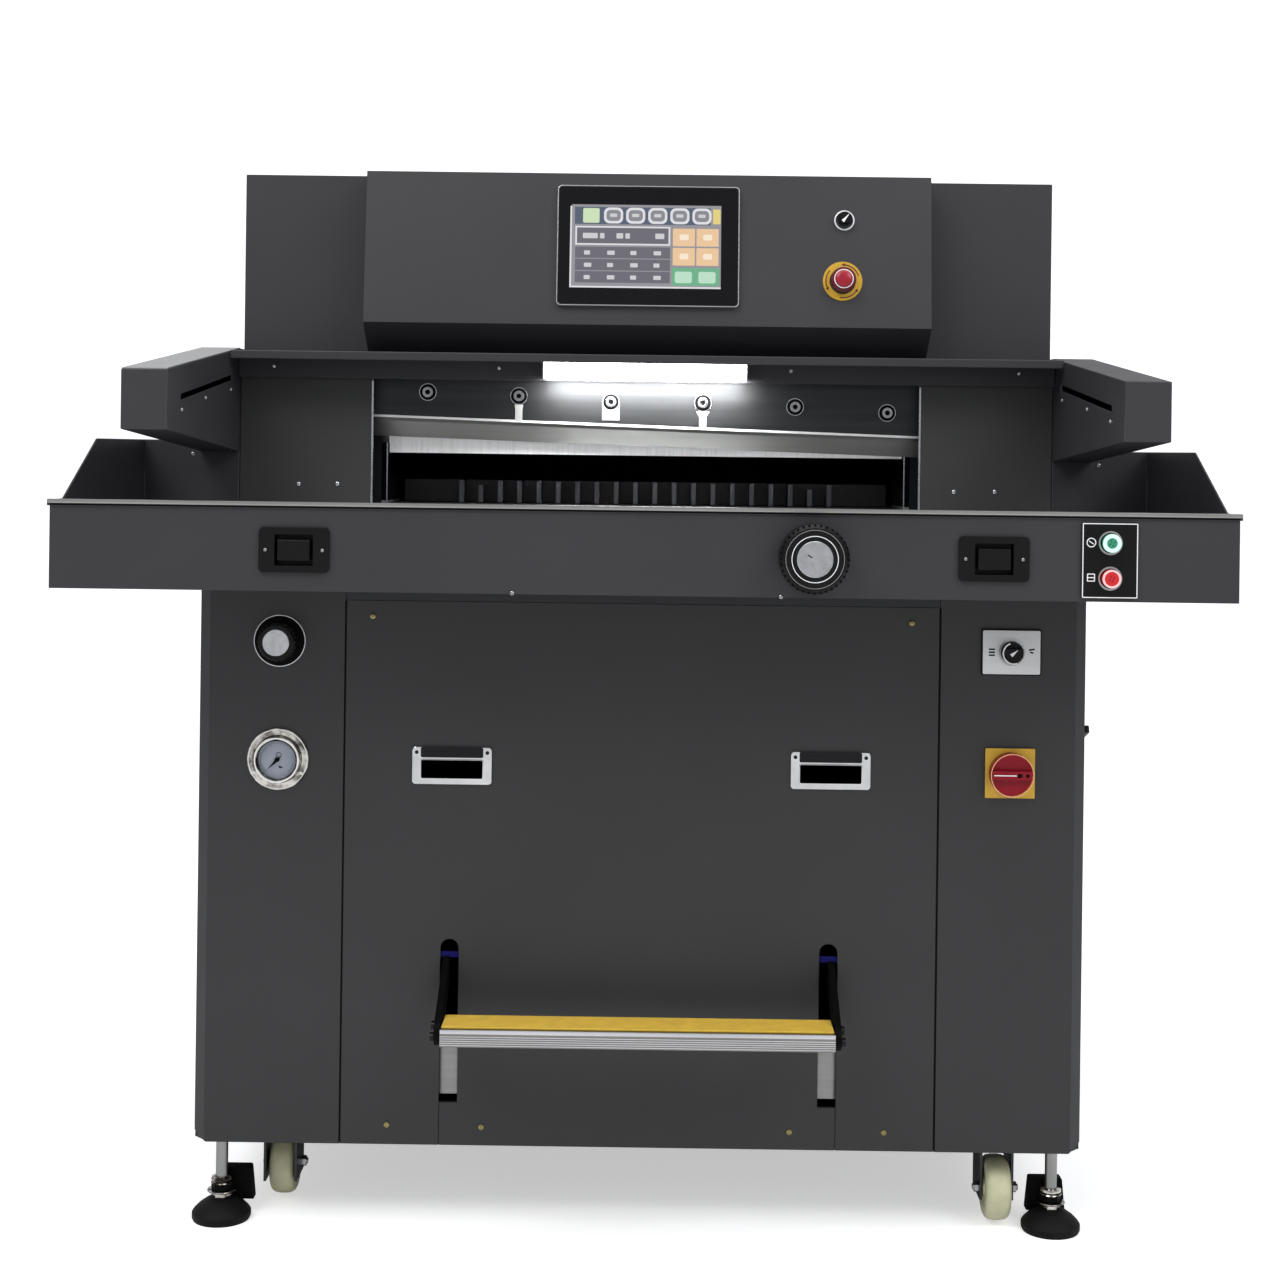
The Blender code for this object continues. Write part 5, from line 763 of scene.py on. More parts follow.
DIAL = at(CABINET, LEFT_PILLAR, GAUGE_UP)
DIAL_BASE, FLANGE_BASE, BEZEL_BASE, GLASS_BASE = 0.0052, 0.0030, 0.0120, 0.0100
PRINT = 0.0005
TICKS, TICKS_A_STEP, TICK_START, TICK_SWEEP = 40, 8, -45.0, 270.0
TICK_OUTER, TICK_INNER, LONG_TICK_INNER = 0.0204, 0.0188, 0.0172
Shape().disc(DIAL, 0.0222, 0.0003, DIAL_BASE).done("gauge_dial", DIAL_GREY, "white_plastic")
ticks = Shape()
for step in range(TICKS + 1):
    place = spun(DIAL, math.radians(TICK_START + TICK_SWEEP * step / TICKS))
    inner = TICK_INNER if step % TICKS_A_STEP else LONG_TICK_INNER
    ticks.block((inner, -0.0002, DIAL_BASE), (TICK_OUTER, 0.0002, DIAL_BASE + PRINT), 0.0, place)
ticks.done("gauge_ticks", SOFT_BLACK, "black_plastic")
bezel = Shape().ring(DIAL, 0.0350, 0.0010, 0.0010, FLANGE_BASE).ring(DIAL, 0.0262, 0.0016, 0.0012, BEZEL_BASE)
bezel.done("gauge_bezel_rings", EDGE_STEEL_HIGHLIGHT, "chrome")
grooves = Shape().ring(DIAL, 0.0282, 0.0010, 0.0004, FLANGE_BASE).ring(DIAL, 0.0236, 0.0012, 0.0003, BEZEL_BASE)
grooves.done("gauge_grooves", SOFT_BLACK, "chrome")
hub = Shape().turned([(0.0, 0.0080), (0.0022, 0.0078), (0.0028, 0.0072), (0.0028, 0.0058), (0.0, 0.0058)], DIAL, 24)
hub.done("gauge_hub", SOFT_BLACK, "black_plastic", "needle")
dial_mark = Shape().drawn([[(0.0010, -0.0072), (0.0072, -0.0088), (0.0028, -0.0104)]],
                          DIAL_BASE, DIAL_BASE + PRINT, 0.0, DIAL)
dial_mark.ring(at(DIAL, 0.0014, 0.0052), 0.0034, 0.0007, PRINT, DIAL_BASE)
dial_mark.done("gauge_marks", SOFT_BLACK, "black_plastic")
Shape().disc(DIAL, 0.0224, 0.0008, GLASS_BASE).done("gauge_glass", GLASS, "chrome")
flange_places = [at(spun(DIAL, math.radians(turn)), 0.0318, 0.0, FLANGE_BASE) for turn in (90, 210, 330)]
screw_set("gauge_screws", flange_places, EDGE_STEEL_HIGHLIGHT, 0.0020)

# Selector and main switch

RIGHT_PILLAR, SELECTOR_UP, SWITCH_UP = 0.430, 0.684, 0.543
SELECTOR = at(CABINET, RIGHT_PILLAR, SELECTOR_UP)
SWITCH = at(CABINET, RIGHT_PILLAR, SWITCH_UP)
SHEET_FACE, SHEET = 0.0030, 0.0006
SELECTOR_SHEET, SELECTOR_EDGE = (0.0670, 0.0510, 0.0015), (0.0694, 0.0534, 0.0020)
SWITCH_SHEET = (0.0580, 0.0580, 0.0010)


def sheet(size, place):
    """A printed sheet on a plate of the right pillar."""
    return Shape().drawn([rounded(*size)], SHEET_FACE - SINK, SHEET_FACE + SHEET, 0.0002, place)


def half_width(node):
    low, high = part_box(node)
    return (high.x - low.x) / 2


def pointer(name, place, length, width, turn, body):
    """A white wedge on a knob's face."""
    outline = [(-width / 2, -length * 0.35), (width / 2, -length * 0.35), (0.0, length * 0.65)]
    wedge = Shape().drawn([outline], -0.0003, PRINT, 0.0, spun(place, math.radians(turn)))
    wedge.done(name, WHITE, "white_plastic", body)


def arc_band(shape, outer, inner, start, end, steps, low, high, place):
    """A flat band along an arc."""
    outline = arc(outer, start, end, steps) + arc(inner, end, start, steps)
    return shape.drawn([outline], low, high, 0.0, place)


sheet(SELECTOR_SHEET, SELECTOR).done("selector_plate", PLATE_SHEET, "aluminium")
plate_edge = Shape().border(SELECTOR_EDGE, SELECTOR_SHEET, 0.0, SHEET_FACE + PRINT, 0.0, SELECTOR)
plate_edge.done("selector_plate_edge", SOFT_BLACK, "black_plastic")
marks = Shape()
for across, up, lean, length in ((-0.0230, -0.0035, 0.0, 0.0070), (-0.0230, 0.0, 0.0, 0.0070),
                                 (-0.0230, 0.0035, 0.0, 0.0070), (0.0235, 0.0035, 0.15, 0.0068),
                                 (0.0235, 0.0, -0.25, 0.0040)):
    stroke = spun(at(SELECTOR, across, up, SHEET_FACE), lean)
    marks.block((-length / 2, -0.0009, 0.0), (length / 2, 0.0009, 0.0008), 0.0, stroke)
marks.done("selector_marks", SOFT_BLACK, "black_plastic")
Shape().ring(SELECTOR, 0.0158, 0.0014, 0.0012, SHEET_FACE + SHEET).done("selector_ring", CHROME, "chrome")
selector_front = at(SELECTOR, 0.0, 0.0, front_of("selector_knob", CABINET))
# A white arc on the left of the knob's rim: a painted highlight.
knob_round = half_width("selector_knob")
band = arc_band(Shape(), knob_round * 0.99, knob_round * 0.88, 110.0, 290.0, 12, -0.0012, 0.0002, selector_front)
band.done("selector_rim_highlight", WHITE, "white_plastic", "selector")
pointer("selector_pointer", selector_front, 0.0110, 0.0040, -50.0, "selector")

sheet(SWITCH_SHEET, SWITCH).done("main_switch_plate", YELLOW, "cream_plastic")
switch_front = at(SWITCH, 0.0, 0.0, front_of("main_switch_knob", CABINET))
window = Shape().block((0.0060, -0.0022, -SINK), (0.0110, 0.0022, 0.0004), 0.0002, switch_front)
window.turned([(0.0, 0.0005), (0.0020, 0.0004), (0.0022, 0.0), (0.0, 0.0)], at(switch_front, 0.0175, 0.0), 20)
window.done("main_switch_window", SOFT_BLACK, "black_plastic", "main_switch")
# A pale ring on the red knob's front edge: a painted highlight on the knob's rim.
switch_rim_highlight = Shape().ring(switch_front, half_width("main_switch_knob") + 0.0002, 0.0010, 0.0005, -0.0010)
switch_rim_highlight.done("main_switch_rim_highlight", SWITCH_RIM_HIGHLIGHT, "red_plastic", "main_switch")
line = Shape().block((-0.0215, -0.0006, -SINK), (0.0045, 0.0006, 0.0004), 0.0001, switch_front)
line.done("main_switch_line", WHITE, "white_plastic", "main_switch")

# Key switch and emergency stop

KEY = at(CONSOLE, 0.247, 0.137)
ESTOP = at(CONSOLE, 0.245, 0.059)
COLLAR_HOLE, COLLAR_SIDE = 0.0165, 0.0250
ARROW_LOW, ARROW_HIGH, ARROW_SWEEP, ARROW_TIP, ARROW_STEPS = 0.0015, 0.0023, 64.0, 66.0, 8
ESTOP_SHAFT, ESTOP_UNDER, ESTOP_BACK = 0.0060, 0.0121, -0.0120
# The key switch's chrome ring is drawn white: a painted reflection of the chrome.
Shape().ring(KEY, 0.0128, 0.0018, 0.0012).done("key_switch_ring_reflection", WHITE, "chrome")
key_front = at(KEY, 0.0, 0.0, front_of("key_switch_knob", CONSOLE))
pointer("key_switch_pointer", key_front, 0.0130, 0.0040, -40.0, "key_switch")

collar = Shape().turned([(COLLAR_HOLE, 0.0020), (0.0245, 0.0018), (COLLAR_SIDE, 0.0010), (COLLAR_SIDE, -SINK),
                         (COLLAR_HOLE, -SINK)], ESTOP, 64)
collar.done("estop_plate", YELLOW, "cream_plastic")
arrows = Shape()
for start in (20.0, 140.0, 260.0):
    arc_band(arrows, 0.0218, 0.0206, start, start + ARROW_SWEEP, ARROW_STEPS, ARROW_LOW, ARROW_HIGH, ESTOP)
    head = at(spun(ESTOP, math.radians(start + ARROW_TIP)), 0.0212, 0.0)
    arrows.drawn([[(-0.0020, -0.0008), (0.0020, -0.0008), (0.0, 0.0028)]], ARROW_LOW, ARROW_HIGH, 0.0, head)
arrows.done("estop_arrows", DEEP_RED, "red_plastic")
# The mushroom under the cap is a darker red than the cap: painted shade under the cap.
mushroom = Shape().turned([(0.0, 0.0180), (0.0142, 0.0172), (0.0156, 0.0158), (0.0160, 0.0140), (0.0160, 0.0130),
                           (0.0150, ESTOP_UNDER), (ESTOP_SHAFT, ESTOP_UNDER), (ESTOP_SHAFT, ESTOP_BACK),
                           (0.0, ESTOP_BACK)], ESTOP)
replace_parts(mushroom.done("estop_mushroom_painted_shade", DEEP_RED, "red_plastic", "estop"), "estop_button")
cap = Shape().turned([(0.0, 0.0219), (0.0060, 0.0217), (0.0092, 0.0210), (0.0106, 0.0200), (0.0112, 0.0188),
                      (0.0112, 0.0174), (0.0, 0.0174)], ESTOP)
cap.done("estop_cap", RED, "red_plastic", "estop")
# A white ring round the cap's edge: a painted highlight on the red cap.
Shape().ring(ESTOP, 0.0121, 0.0010, 0.0013, 0.0178).done("estop_rim_painted_highlight", WHITE, "white_plastic", "estop")

# Start and stop panel

PANEL_ACROSS, PANEL_UP, BUTTON_UP = 0.5055, -0.0390, 0.01925
PANEL_TRIM, PANEL_HOLE = (0.0600, 0.0810, 0.0012), (0.0580, 0.0790, 0.0008)
SIGN_ACROSS, START_SIGN_UP, STOP_SIGN_UP, SIGN_LINE = -0.0205, 0.0195, -0.0185, 0.0005
STOP_SIGN, STOP_SIGN_HOLE = (0.0086, 0.0086, 0.0008), (0.0066, 0.0066, 0.0005)
SPOKE_TURN, SPOKE_START, START_SIGN_TURN = 1.57, 0.4, -0.6
PANEL = at(APRON, PANEL_ACROSS, PANEL_UP, front_of("push_plate", APRON))
Shape().border(PANEL_TRIM, PANEL_HOLE, -SINK, PRINT, 0.0, PANEL).done("panel_trim", WHITE, "white_plastic")
for name, side, rim_width, rim, symbol, slot in (
    ("start", 1, 0.0042, GREEN_RIM, DARK_GREY, "green_plastic"),
    ("stop", -1, 0.0022, RED_RIM, DEEP_RED, "red_plastic"),
):
    place = at(PANEL, 0.0, side * BUTTON_UP)
    Shape().ring(place, 0.0130, 0.0020, 0.0022).done(f"{name}_collar", CHROME, "chrome")
    face = at(place, 0.0, 0.0, front_of(f"{name}_button", PANEL))
    Shape().ring(face, 0.0100, rim_width, 0.0006).done(f"{name}_rim", rim, slot, f"{name}_push")
    spokes = Shape()
    for turn in range(4):
        spoke = spun(face, turn * SPOKE_TURN + SPOKE_START)
        spokes.block((0.0016, -0.0004, 0.0), (0.0038, 0.0004, 0.0004), 0.0, spoke)
    spokes.done(f"{name}_symbol", symbol, "black_plastic", f"{name}_push")
start_sign, stop_sign = at(PANEL, SIGN_ACROSS, START_SIGN_UP), at(PANEL, SIGN_ACROSS, STOP_SIGN_UP)
signs = Shape().ring(start_sign, 0.0052, 0.0010, PRINT)
signs.block((-0.0030, -SIGN_LINE, -SINK), (0.0030, SIGN_LINE, PRINT), 0.0, spun(start_sign, START_SIGN_TURN))
signs.border(STOP_SIGN, STOP_SIGN_HOLE, -SINK, PRINT, 0.0, stop_sign)
signs.block((-0.0033, -SIGN_LINE, -SINK), (0.0033, SIGN_LINE, PRINT), 0.0, stop_sign)
signs.done("panel_signs", WHITE, "white_plastic")

# Touch screen: trim and a plain layout of fields and keys, each layer a little over the one below

SCREEN_UP, DISPLAY_ACROSS = 0.100, -0.0025
SCREEN_TRIM, SCREEN_HOLE = (0.2292, 0.1537, 0.0056), (0.2266, 0.1511, 0.0045)
DISPLAY_WIDTH, DISPLAY_HEIGHT, DISPLAY_LAYER, LEAST_CORNER = 0.1880, 0.1045, 0.00012, 0.0002
SCREEN_FRONT = front_of("touch_screen", CONSOLE)
SCREEN = at(CONSOLE, 0.0, SCREEN_UP, SCREEN_FRONT)
DISPLAY = at(SCREEN, DISPLAY_ACROSS, 0.0)


def tiles(left, low, wide, high, level, corner=0.0, columns=1, pitch=0.0, rows=1, lift=0.0):
    """Equal tiles on one layer, in columns and rows; places and sizes are shares of the display's sides."""
    places = [(left + pitch * column, low + lift * row) for column in range(columns) for row in range(rows)]
    return [(across, up, wide, high, level, corner) for across, up in places]


def row_tokens():
    """The small fields in the rows of the list, every other one a little wider."""
    places = [(row, column) for row in range(3) for column in range(4)]
    return [(0.085 + 0.155 * column, 0.085 + 0.150 * row, 0.040 + 0.010 * ((row + column) % 2), 0.050, 5, 0.001)
            for row, column in places]


TITLE_TOKENS = ((0.075, 0.100), (0.190, 0.030), (0.300, 0.045), (0.360, 0.030), (0.560, 0.060))
DISPLAY_TILES = (
    ("display", SHOW_BACK, tiles(0.0, 0.0, 1.0, 1.0, 1)),
    ("display_edge", SHOW_WHITE, tiles(-0.010, -0.016, 1.010, 0.020, 2) + tiles(-0.010, 0.004, 0.011, 0.976, 2)),
    ("display_bar", SHOW_BAR, tiles(0.02, 0.76, 0.91, 0.21, 2)),
    ("display_home", SHOW_LIME, tiles(0.075, 0.775, 0.110, 0.180, 3, 0.002)),
    ("display_frames", SHOW_WHITE,
     tiles(0.215, 0.770, 0.128, 0.195, 3, 0.007, 5, 0.148) + tiles(0.025, 0.505, 0.635, 0.230, 3)),
    ("display_plates", SHOW_GREY, tiles(0.231, 0.800, 0.096, 0.135, 4, 0.005, 5, 0.148)),
    ("display_corner", SHOW_YELLOW, tiles(0.945, 0.775, 0.050, 0.180, 3)),
    ("display_rows", SHOW_DARK,
     tiles(0.036, 0.524, 0.613, 0.192, 4) + tiles(0.025, 0.045, 0.635, 0.138, 3, rows=3, lift=0.150)),
    ("display_tokens", SHOW_TOKEN,
     row_tokens() + [(left, 0.585, wide, 0.065, 6, 0.001) for left, wide in TITLE_TOKENS]
     + tiles(0.255, 0.850, 0.048, 0.040, 6, 0.001, 5, 0.148)),
    ("display_strip", SHOW_GREEN, tiles(0.675, 0.020, 0.315, 0.215, 3)),
    ("display_tan_keys", SHOW_TAN, tiles(0.678, 0.265, 0.148, 0.215, 4, 0.001, 2, 0.158, 2, 0.235)),
    ("display_tan_marks", SHOW_PALE, tiles(0.723, 0.340, 0.060, 0.070, 5, 0.002, 2, 0.158, 2, 0.235)),
    ("display_mint_keys", SHOW_MINT, tiles(0.693, 0.050, 0.115, 0.140, 4, 0.003, 2, 0.158)),
)

trim = Shape().border(SCREEN_TRIM, SCREEN_HOLE, -SCREEN_FRONT, 0.0004, 0.0004, SCREEN)
trim.done("screen_trim", ALUMINIUM, "aluminium")
for name, colour, fields in DISPLAY_TILES:
    picture = Shape()
    for left, low, wide, high, level, corner in fields:
        centre = (left + wide / 2 - 0.5) * DISPLAY_WIDTH, (low + high / 2 - 0.5) * DISPLAY_HEIGHT
        field = rounded(wide * DISPLAY_WIDTH, high * DISPLAY_HEIGHT, max(corner, LEAST_CORNER), centre)
        picture.drawn([field], 0.0, DISPLAY_LAYER * level, 0.0, DISPLAY)
    picture.done(name, colour, "screen_black")

# Lever of the quarter-turn latch

LATCH_LEAN = math.radians(-20.0)
latch_low, latch_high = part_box("side_latch")
latch_middle = (latch_low + latch_high) / 2
latch_face = spun(at(side_matrix(latch_high.x, 1), latch_middle.y, latch_middle.z), LATCH_LEAN)
lever = Shape().block((-0.0340, -0.0045, 0.0080), (0.0060, 0.0045, 0.0140), 0.0015, latch_face)
lever.turned([(0.0, 0.0082), (0.0062, 0.0082), (0.0070, -SINK), (0.0, -SINK)], latch_face, 32)
lever.done("latch_lever", BLACK, "black_plastic", "latch")

# Pedal: tread, ridged nose and bolts

TREAD_COUNT, TREAD_INSET, TREAD_MARGIN = 11, 0.004, 0.006
TREAD_VALLEY, TREAD_CREST = 0.0016, 0.0024
NOSE_RIDGES, NOSE_PITCH, NOSE_RIDGE = 5, 0.0024, 0.0011
BOLT_OUT = 0.0078
PEDAL_BOLTS = ((-0.5000, 0.2510), (-0.4860, 0.2600))
bar_low, bar_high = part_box("pedal_bar")
pitch = (bar_high.y - bar_low.y - TREAD_MARGIN) / TREAD_COUNT
first, valley, crest = bar_low.y + TREAD_INSET, bar_high.z + TREAD_VALLEY, bar_high.z + TREAD_CREST
outline = [(first, bar_high.z + SINK)]
for step in range(TREAD_COUNT):
    start = first + pitch * step
    outline += [(start, valley), (start + pitch * 0.12, crest), (start + pitch * 0.62, crest),
                (start + pitch * 0.74, valley)]
outline.append((first + pitch * TREAD_COUNT, bar_high.z + SINK))
tread_side = bar_high.x - 0.0020
tread = Shape().drawn([outline[::-1]], -tread_side, tread_side, 0.0, LENGTHWISE)
tread.done("pedal_tread", TREAD_YELLOW, "cream_plastic", "pedal")
nose_start, nose_end = bar_low.x + 0.0005, bar_high.x - 0.0005
nose = Shape()
for step in range(NOSE_RIDGES):
    low = bar_low.z + 0.0018 + NOSE_PITCH * step
    nose.block((nose_start, bar_low.y - 0.0005, low), (nose_end, bar_low.y + 0.0003, low + NOSE_RIDGE), 0.0002)
nose.block((nose_start, bar_low.y - 0.0008, bar_high.z - 0.0050),
           (nose_end, bar_low.y + 0.0010, bar_high.z - 0.0002), 0.0014)
nose.done("pedal_nose", ALUMINIUM, "aluminium", "pedal")
bolts = Shape()
for hand in (-1, 1):
    side = side_matrix(hand * (bar_high.x + BOLT_OUT), hand)
    for along, up in PEDAL_BOLTS:
        seat = at(side, hand * along, up)
        bolts.turned([(0.0052, 0.0012), (0.0064, 0.0004), (0.0064, -0.0004), (0.0052, -0.0004)], seat, 32)
        bolts.drawn([circle(0.0050), circle(0.0025, 6)], -SINK, 0.0052, 0.0005, seat)
        bolts.rod(seat, 0.0030, 0.0, 0.0022, 12)
bolts.done("pedal_bolts", DARK_BOLT, "black_plastic", "pedal")

# Plates, feet and bands behind the pedal's slots: front and back behind the cabinet's face, low, high, rounding

PLATE_INNER, PLATE_OUTER = 0.2100, 0.2335
SLOT_PIECES = (
    ("slot_plate", 0.0080, 0.0092, 0.1570, 0.2130, 0.0003, PLATE_METAL, "aluminium"),
    ("slot_foot", 0.0040, 0.0092, 0.1470, 0.1486, 0.0003, PLATE_METAL, "aluminium"),
    ("slot_band", 0.0030, 0.0040, 0.3180, 0.3250, 0.0002, BAND_BLUE, "blue_paint"),
)
for side, hand in SIDES:
    start, end = sorted((hand * PLATE_INNER, hand * PLATE_OUTER))
    for name, front, back, low, high, edge, finish, slot in SLOT_PIECES:
        piece = Shape().block((start, CABINET_FRONT + front, low), (end, CABINET_FRONT + back, high), edge)
        piece.done(f"{side}_{name}", finish, slot)

# Levelling feet: pad, stem, nuts and a guard that leans beside the stem

STEM_RADIUS, STEM_LOW = 0.0071, 0.0240
NUT_HOLE, COLLAR_HOLE = 0.0075, 0.0068
GUARD_SHIFT_LEFT, GUARD_SHIFT_RIGHT, GUARD_BACK = 0.0120, -0.0030, 0.0240
GUARD_OUTLINE = [(-0.0230, 0.0170), (0.0230, 0.0170), (0.0195, 0.0535), (0.0180, 0.0550), (-0.0180, 0.0550),
                 (-0.0195, 0.0535)]
PAD_CROWN = [(0.0, 0.0260), (0.0130, 0.0258), (0.0190, 0.0225), (0.0270, 0.0170)]
LOCK_NUT = [(NUT_HOLE, 0.0500), (0.0118, 0.0492), (0.0124, 0.0478), (0.0124, 0.0462), (NUT_HOLE, 0.0460)]
LOCK_WASHER = [(NUT_HOLE, 0.0440), (0.0122, 0.0438), (0.0128, 0.0428), (0.0122, 0.0420), (NUT_HOLE, 0.0418)]
FOOT_WASHER = [(COLLAR_HOLE, 0.0350), (0.0165, 0.0344), (0.0170, 0.0334), (0.0165, 0.0326), (COLLAR_HOLE, 0.0326)]


def levelling_foot(name, body):
    low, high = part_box(name)
    centre = (low + high) / 2
    spot = Matrix.Translation((centre.x, centre.y, 0.0))
    radius = (high.x - low.x) / 2
    rim = [(radius - 0.0020, 0.0115), (radius, 0.0085), (radius, 0.0030), (radius - 0.0015, 0.0), (0.0, 0.0)]
    pad = Shape().turned(PAD_CROWN + rim, spot, 64)
    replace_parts(pad.done(f"{name}_pad", RUBBER, "black_rubber", body), name)
    Shape().rod(spot, STEM_RADIUS, STEM_LOW, high.z - 0.0001, 32).done(f"{name}_stem", ROD_STEEL, "chrome", body)
    nuts = Shape().turned(LOCK_NUT, spot, 40).turned(LOCK_WASHER, spot, 40)
    nuts.drawn([circle(0.0110, 6), circle(0.0072)], 0.0250, 0.0320, 0.0005, spot)
    nuts.turned(FOOT_WASHER, spot, 40).done(f"{name}_nuts", AGED_CHROME, "chrome", body)
    guard = Shape().drawn([circle(0.0125, 6), circle(0.0070)], 0.0350, 0.0419, 0.0008, spot)
    shift = GUARD_SHIFT_LEFT if centre.x < 0 else GUARD_SHIFT_RIGHT
    upright = spot @ Matrix.Translation((shift, GUARD_BACK, 0.0)) @ Matrix.Rotation(math.pi / 2, 4, "X")
    guard.drawn([GUARD_OUTLINE], -0.0060, 0.0100, 0.0012, upright)
    guard.done(f"{name}_guard", SOFT_BLACK, "black_plastic", body)


for end in ("front", "rear"):
    for side, _ in SIDES:
        levelling_foot(f"{end}_{side}_foot", f"{end}_{side}_pad")

# Castor wheels: a crowned tread with hollowed sides, and the axle's two ends

HUB_SIDE, AXLE_SIDE, AXLE_RADIUS = 0.0158, 0.0206, 0.0045


def castor(name, roller, carrier_body):
    low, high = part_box(name)
    radius = (high.z - low.z) / 2
    place = Matrix.Translation((low + high) / 2) @ Matrix.Rotation(math.pi / 2, 4, "Y")
    half = [(0.0110, HUB_SIDE), (0.0130, 0.0140), (0.0225, 0.0128), (0.0250, 0.0146), (0.0310, 0.0148),
            (radius - 0.0034, 0.0132), (radius - 0.0010, 0.0096), (radius, 0.0040)]
    profile = [(0.0, HUB_SIDE)] + half + [(reach, -up) for reach, up in reversed(half)] + [(0.0, -HUB_SIDE)]
    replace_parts(Shape().turned(profile, place, 72).done(f"{name}_tread", CREAM, "cream_plastic", roller), name)
    axle = Shape()
    for out, flip in ((-AXLE_SIDE, Matrix.Rotation(math.pi, 4, "X")), (AXLE_SIDE, HERE)):
        spot = at(place, 0.0, 0.0, out) @ flip
        axle.drawn([circle(0.0066, 6)], -0.0006, 0.0046, 0.0006, spot)
        axle.turned([(0.0, 0.0068), (0.0034, 0.0064), (0.0038, 0.0056), (0.0038, 0.0044), (0.0, 0.0044)], spot, 20)
    axle.rod(place, AXLE_RADIUS, -AXLE_SIDE, AXLE_SIDE, 20)
    axle.done(f"{name}_axle", SCREW, "chrome", carrier_body)


for side, _ in SIDES:
    castor(f"front_{side}_wheel", f"front_{side}_roller", f"front_{side}_fork")
    castor(f"rear_{side}_wheel", f"rear_{side}_roller", "machine")


# Floor, light and camera

FLOOR_SIZE = 14.0
FLOOR_WALL_PLACE = 5.0
FLOOR_CURVE, FLOOR_CURVE_STEPS = 1.5, 12
FLOOR_LIFT = 0.5
WHITE_LIGHT = (1.0, 1.0, 1.0, 1.0)
SOFT_LIGHT, SOFT_STRENGTH = (0.95, 0.97, 1.0, 1.0), 0.45
LAMPS = (
    ("key_light", (-2.2, -3.2, 4.2), (0.0, 0.0, 0.9), 2.6, 2.0, 95.0),
    ("fill_light", (2.8, -3.0, 3.6), (0.0, 0.0, 0.9), 2.6, 2.0, 70.0),
    ("top_light", (0.0, -0.4, 4.0), (0.0, 0.0, 0.6), 3.0, 3.0, 60.0),
    ("work_light", (0.0, -0.2040, 1.0000), (0.0, -0.1570, 0.9620), 0.2500, 0.0100, 1.1),
)


def floor_finish():
    """Pale paint that takes the shadows, lifted to white for the camera."""
    item = Finish("pale_floor", (246, 246, 247), 0.75).clouds(1.5, 0.01).grain(300.0, 0.0001)
    path = item.node("ShaderNodeLightPath")
    lift = item.node("ShaderNodeMath")
    lift.operation = "MULTIPLY"
    lift.inputs[1].default_value = FLOOR_LIFT
    item.link(path.outputs["Is Camera Ray"], lift.inputs[0])
    item.sockets(Emission_Color=WHITE_LIGHT)
    item.link(lift.outputs["Value"], item.shader.inputs["Emission Strength"])
    return item.surface


def white_stage():
    """A pale floor that runs up into a backdrop, white to the camera and lit by the lamps for everything else."""
    half = FLOOR_SIZE / 2
    bend = FLOOR_WALL_PLACE - FLOOR_CURVE
    curve = [(bend - y, FLOOR_CURVE - z) for z, y in arc(FLOOR_CURVE, 0.0, -90.0, FLOOR_CURVE_STEPS)]
    path = [(-half, 0.0)] + curve + [(FLOOR_WALL_PLACE, half)]
    solid = bmesh.new()
    rows = [[solid.verts.new((side, y, z)) for side in (-half, half)] for y, z in path]
    for lower, upper in zip(rows, rows[1:]):
        solid.faces.new((lower[0], lower[1], upper[1], upper[0]))
    mesh = bpy.data.meshes.new("studio_floor")
    solid.to_mesh(mesh)
    solid.free()
    mesh.polygons.foreach_set("use_smooth", [True] * len(mesh.polygons))
    floor = bpy.data.objects.new("studio_floor", mesh)
    bpy.context.scene.collection.objects.link(floor)
    mesh.materials.append(floor_finish())


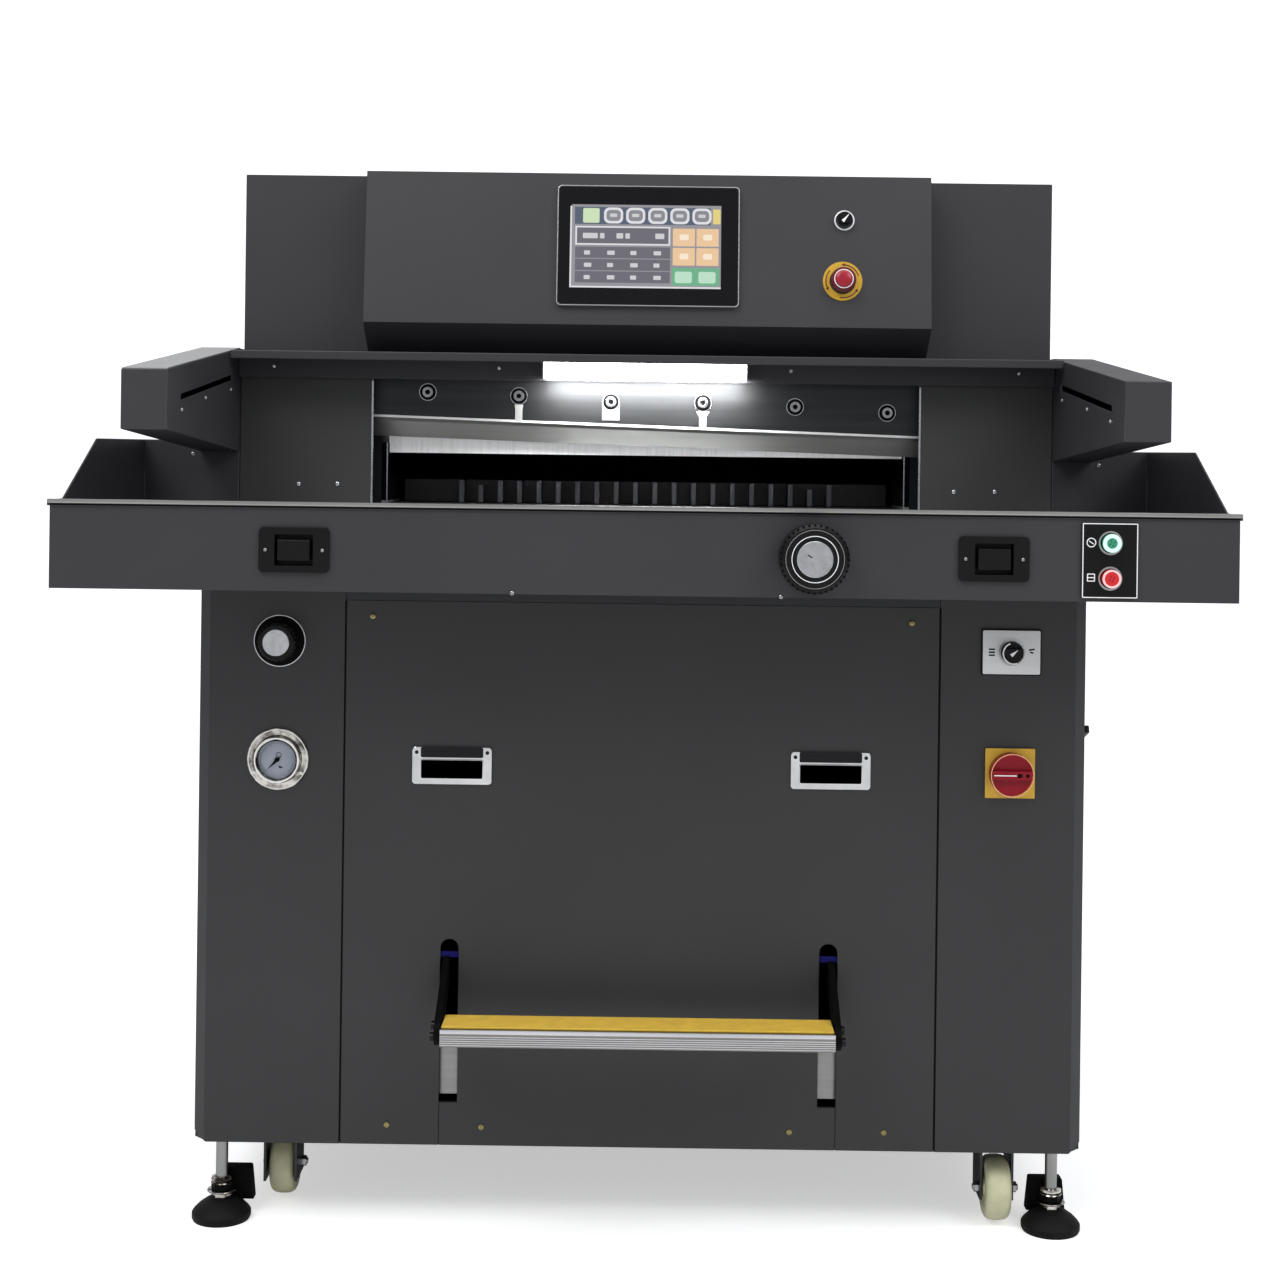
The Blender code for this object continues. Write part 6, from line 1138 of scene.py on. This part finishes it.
def lamp(name, place, target, width, height, power):
    light = bpy.data.lights.new(name, "AREA")
    light.shape = "RECTANGLE"
    light.size = width
    light.size_y = height
    light.energy = power
    item = bpy.data.objects.new(name, light)
    item.location = place
    item.rotation_euler = (Vector(target) - Vector(place)).to_track_quat("-Z", "Y").to_euler()
    item.visible_camera = False
    bpy.context.scene.collection.objects.link(item)


def world_light():
    """A dim, slightly blue surround for the object, and white for the camera."""
    world = bpy.data.worlds.new("studio_world")
    bpy.context.scene.world = world
    world.use_nodes = True
    tree = world.node_tree
    tree.nodes.clear()
    path = tree.nodes.new("ShaderNodeLightPath")
    mix = tree.nodes.new("ShaderNodeMixShader")
    out = tree.nodes.new("ShaderNodeOutputWorld")
    tree.links.new(path.outputs["Is Camera Ray"], mix.inputs["Fac"])
    for socket, colour, strength in ((1, SOFT_LIGHT, SOFT_STRENGTH), (2, WHITE_LIGHT, 1.0)):
        background = with_inputs(tree.nodes.new("ShaderNodeBackground"), {"Color": colour, "Strength": strength})
        tree.links.new(background.outputs["Background"], mix.inputs[socket])
    tree.links.new(mix.outputs["Shader"], out.inputs["Surface"])


CAMERA_PLACE = (0.00362, -2.81101, 0.9149)
CAMERA_YAW = 0.00411
CAMERA_ROLL = 0.01294
CAMERA_LENS, CAMERA_SENSOR = 57.749, 36.0
CAMERA_SHIFT = -0.14875
CAMERA_NEAR, CAMERA_FAR = 0.05, 60.0


def photo_camera():
    lens = bpy.data.cameras.new("photo_camera")
    lens.lens = CAMERA_LENS
    lens.sensor_width = CAMERA_SENSOR
    lens.shift_y = CAMERA_SHIFT
    lens.clip_start = CAMERA_NEAR
    lens.clip_end = CAMERA_FAR
    camera = bpy.data.objects.new("photo_camera", lens)
    turn = Matrix.Rotation(CAMERA_YAW, 4, "Z") @ Matrix.Rotation(math.pi / 2, 4, "X")
    camera.matrix_world = spun(Matrix.Translation(CAMERA_PLACE) @ turn, CAMERA_ROLL)
    bpy.context.scene.collection.objects.link(camera)
    bpy.context.scene.camera = camera


white_stage()
for settings in LAMPS:
    lamp(*settings)
world_light()
photo_camera()
bpy.context.scene.view_settings.view_transform = "Standard"
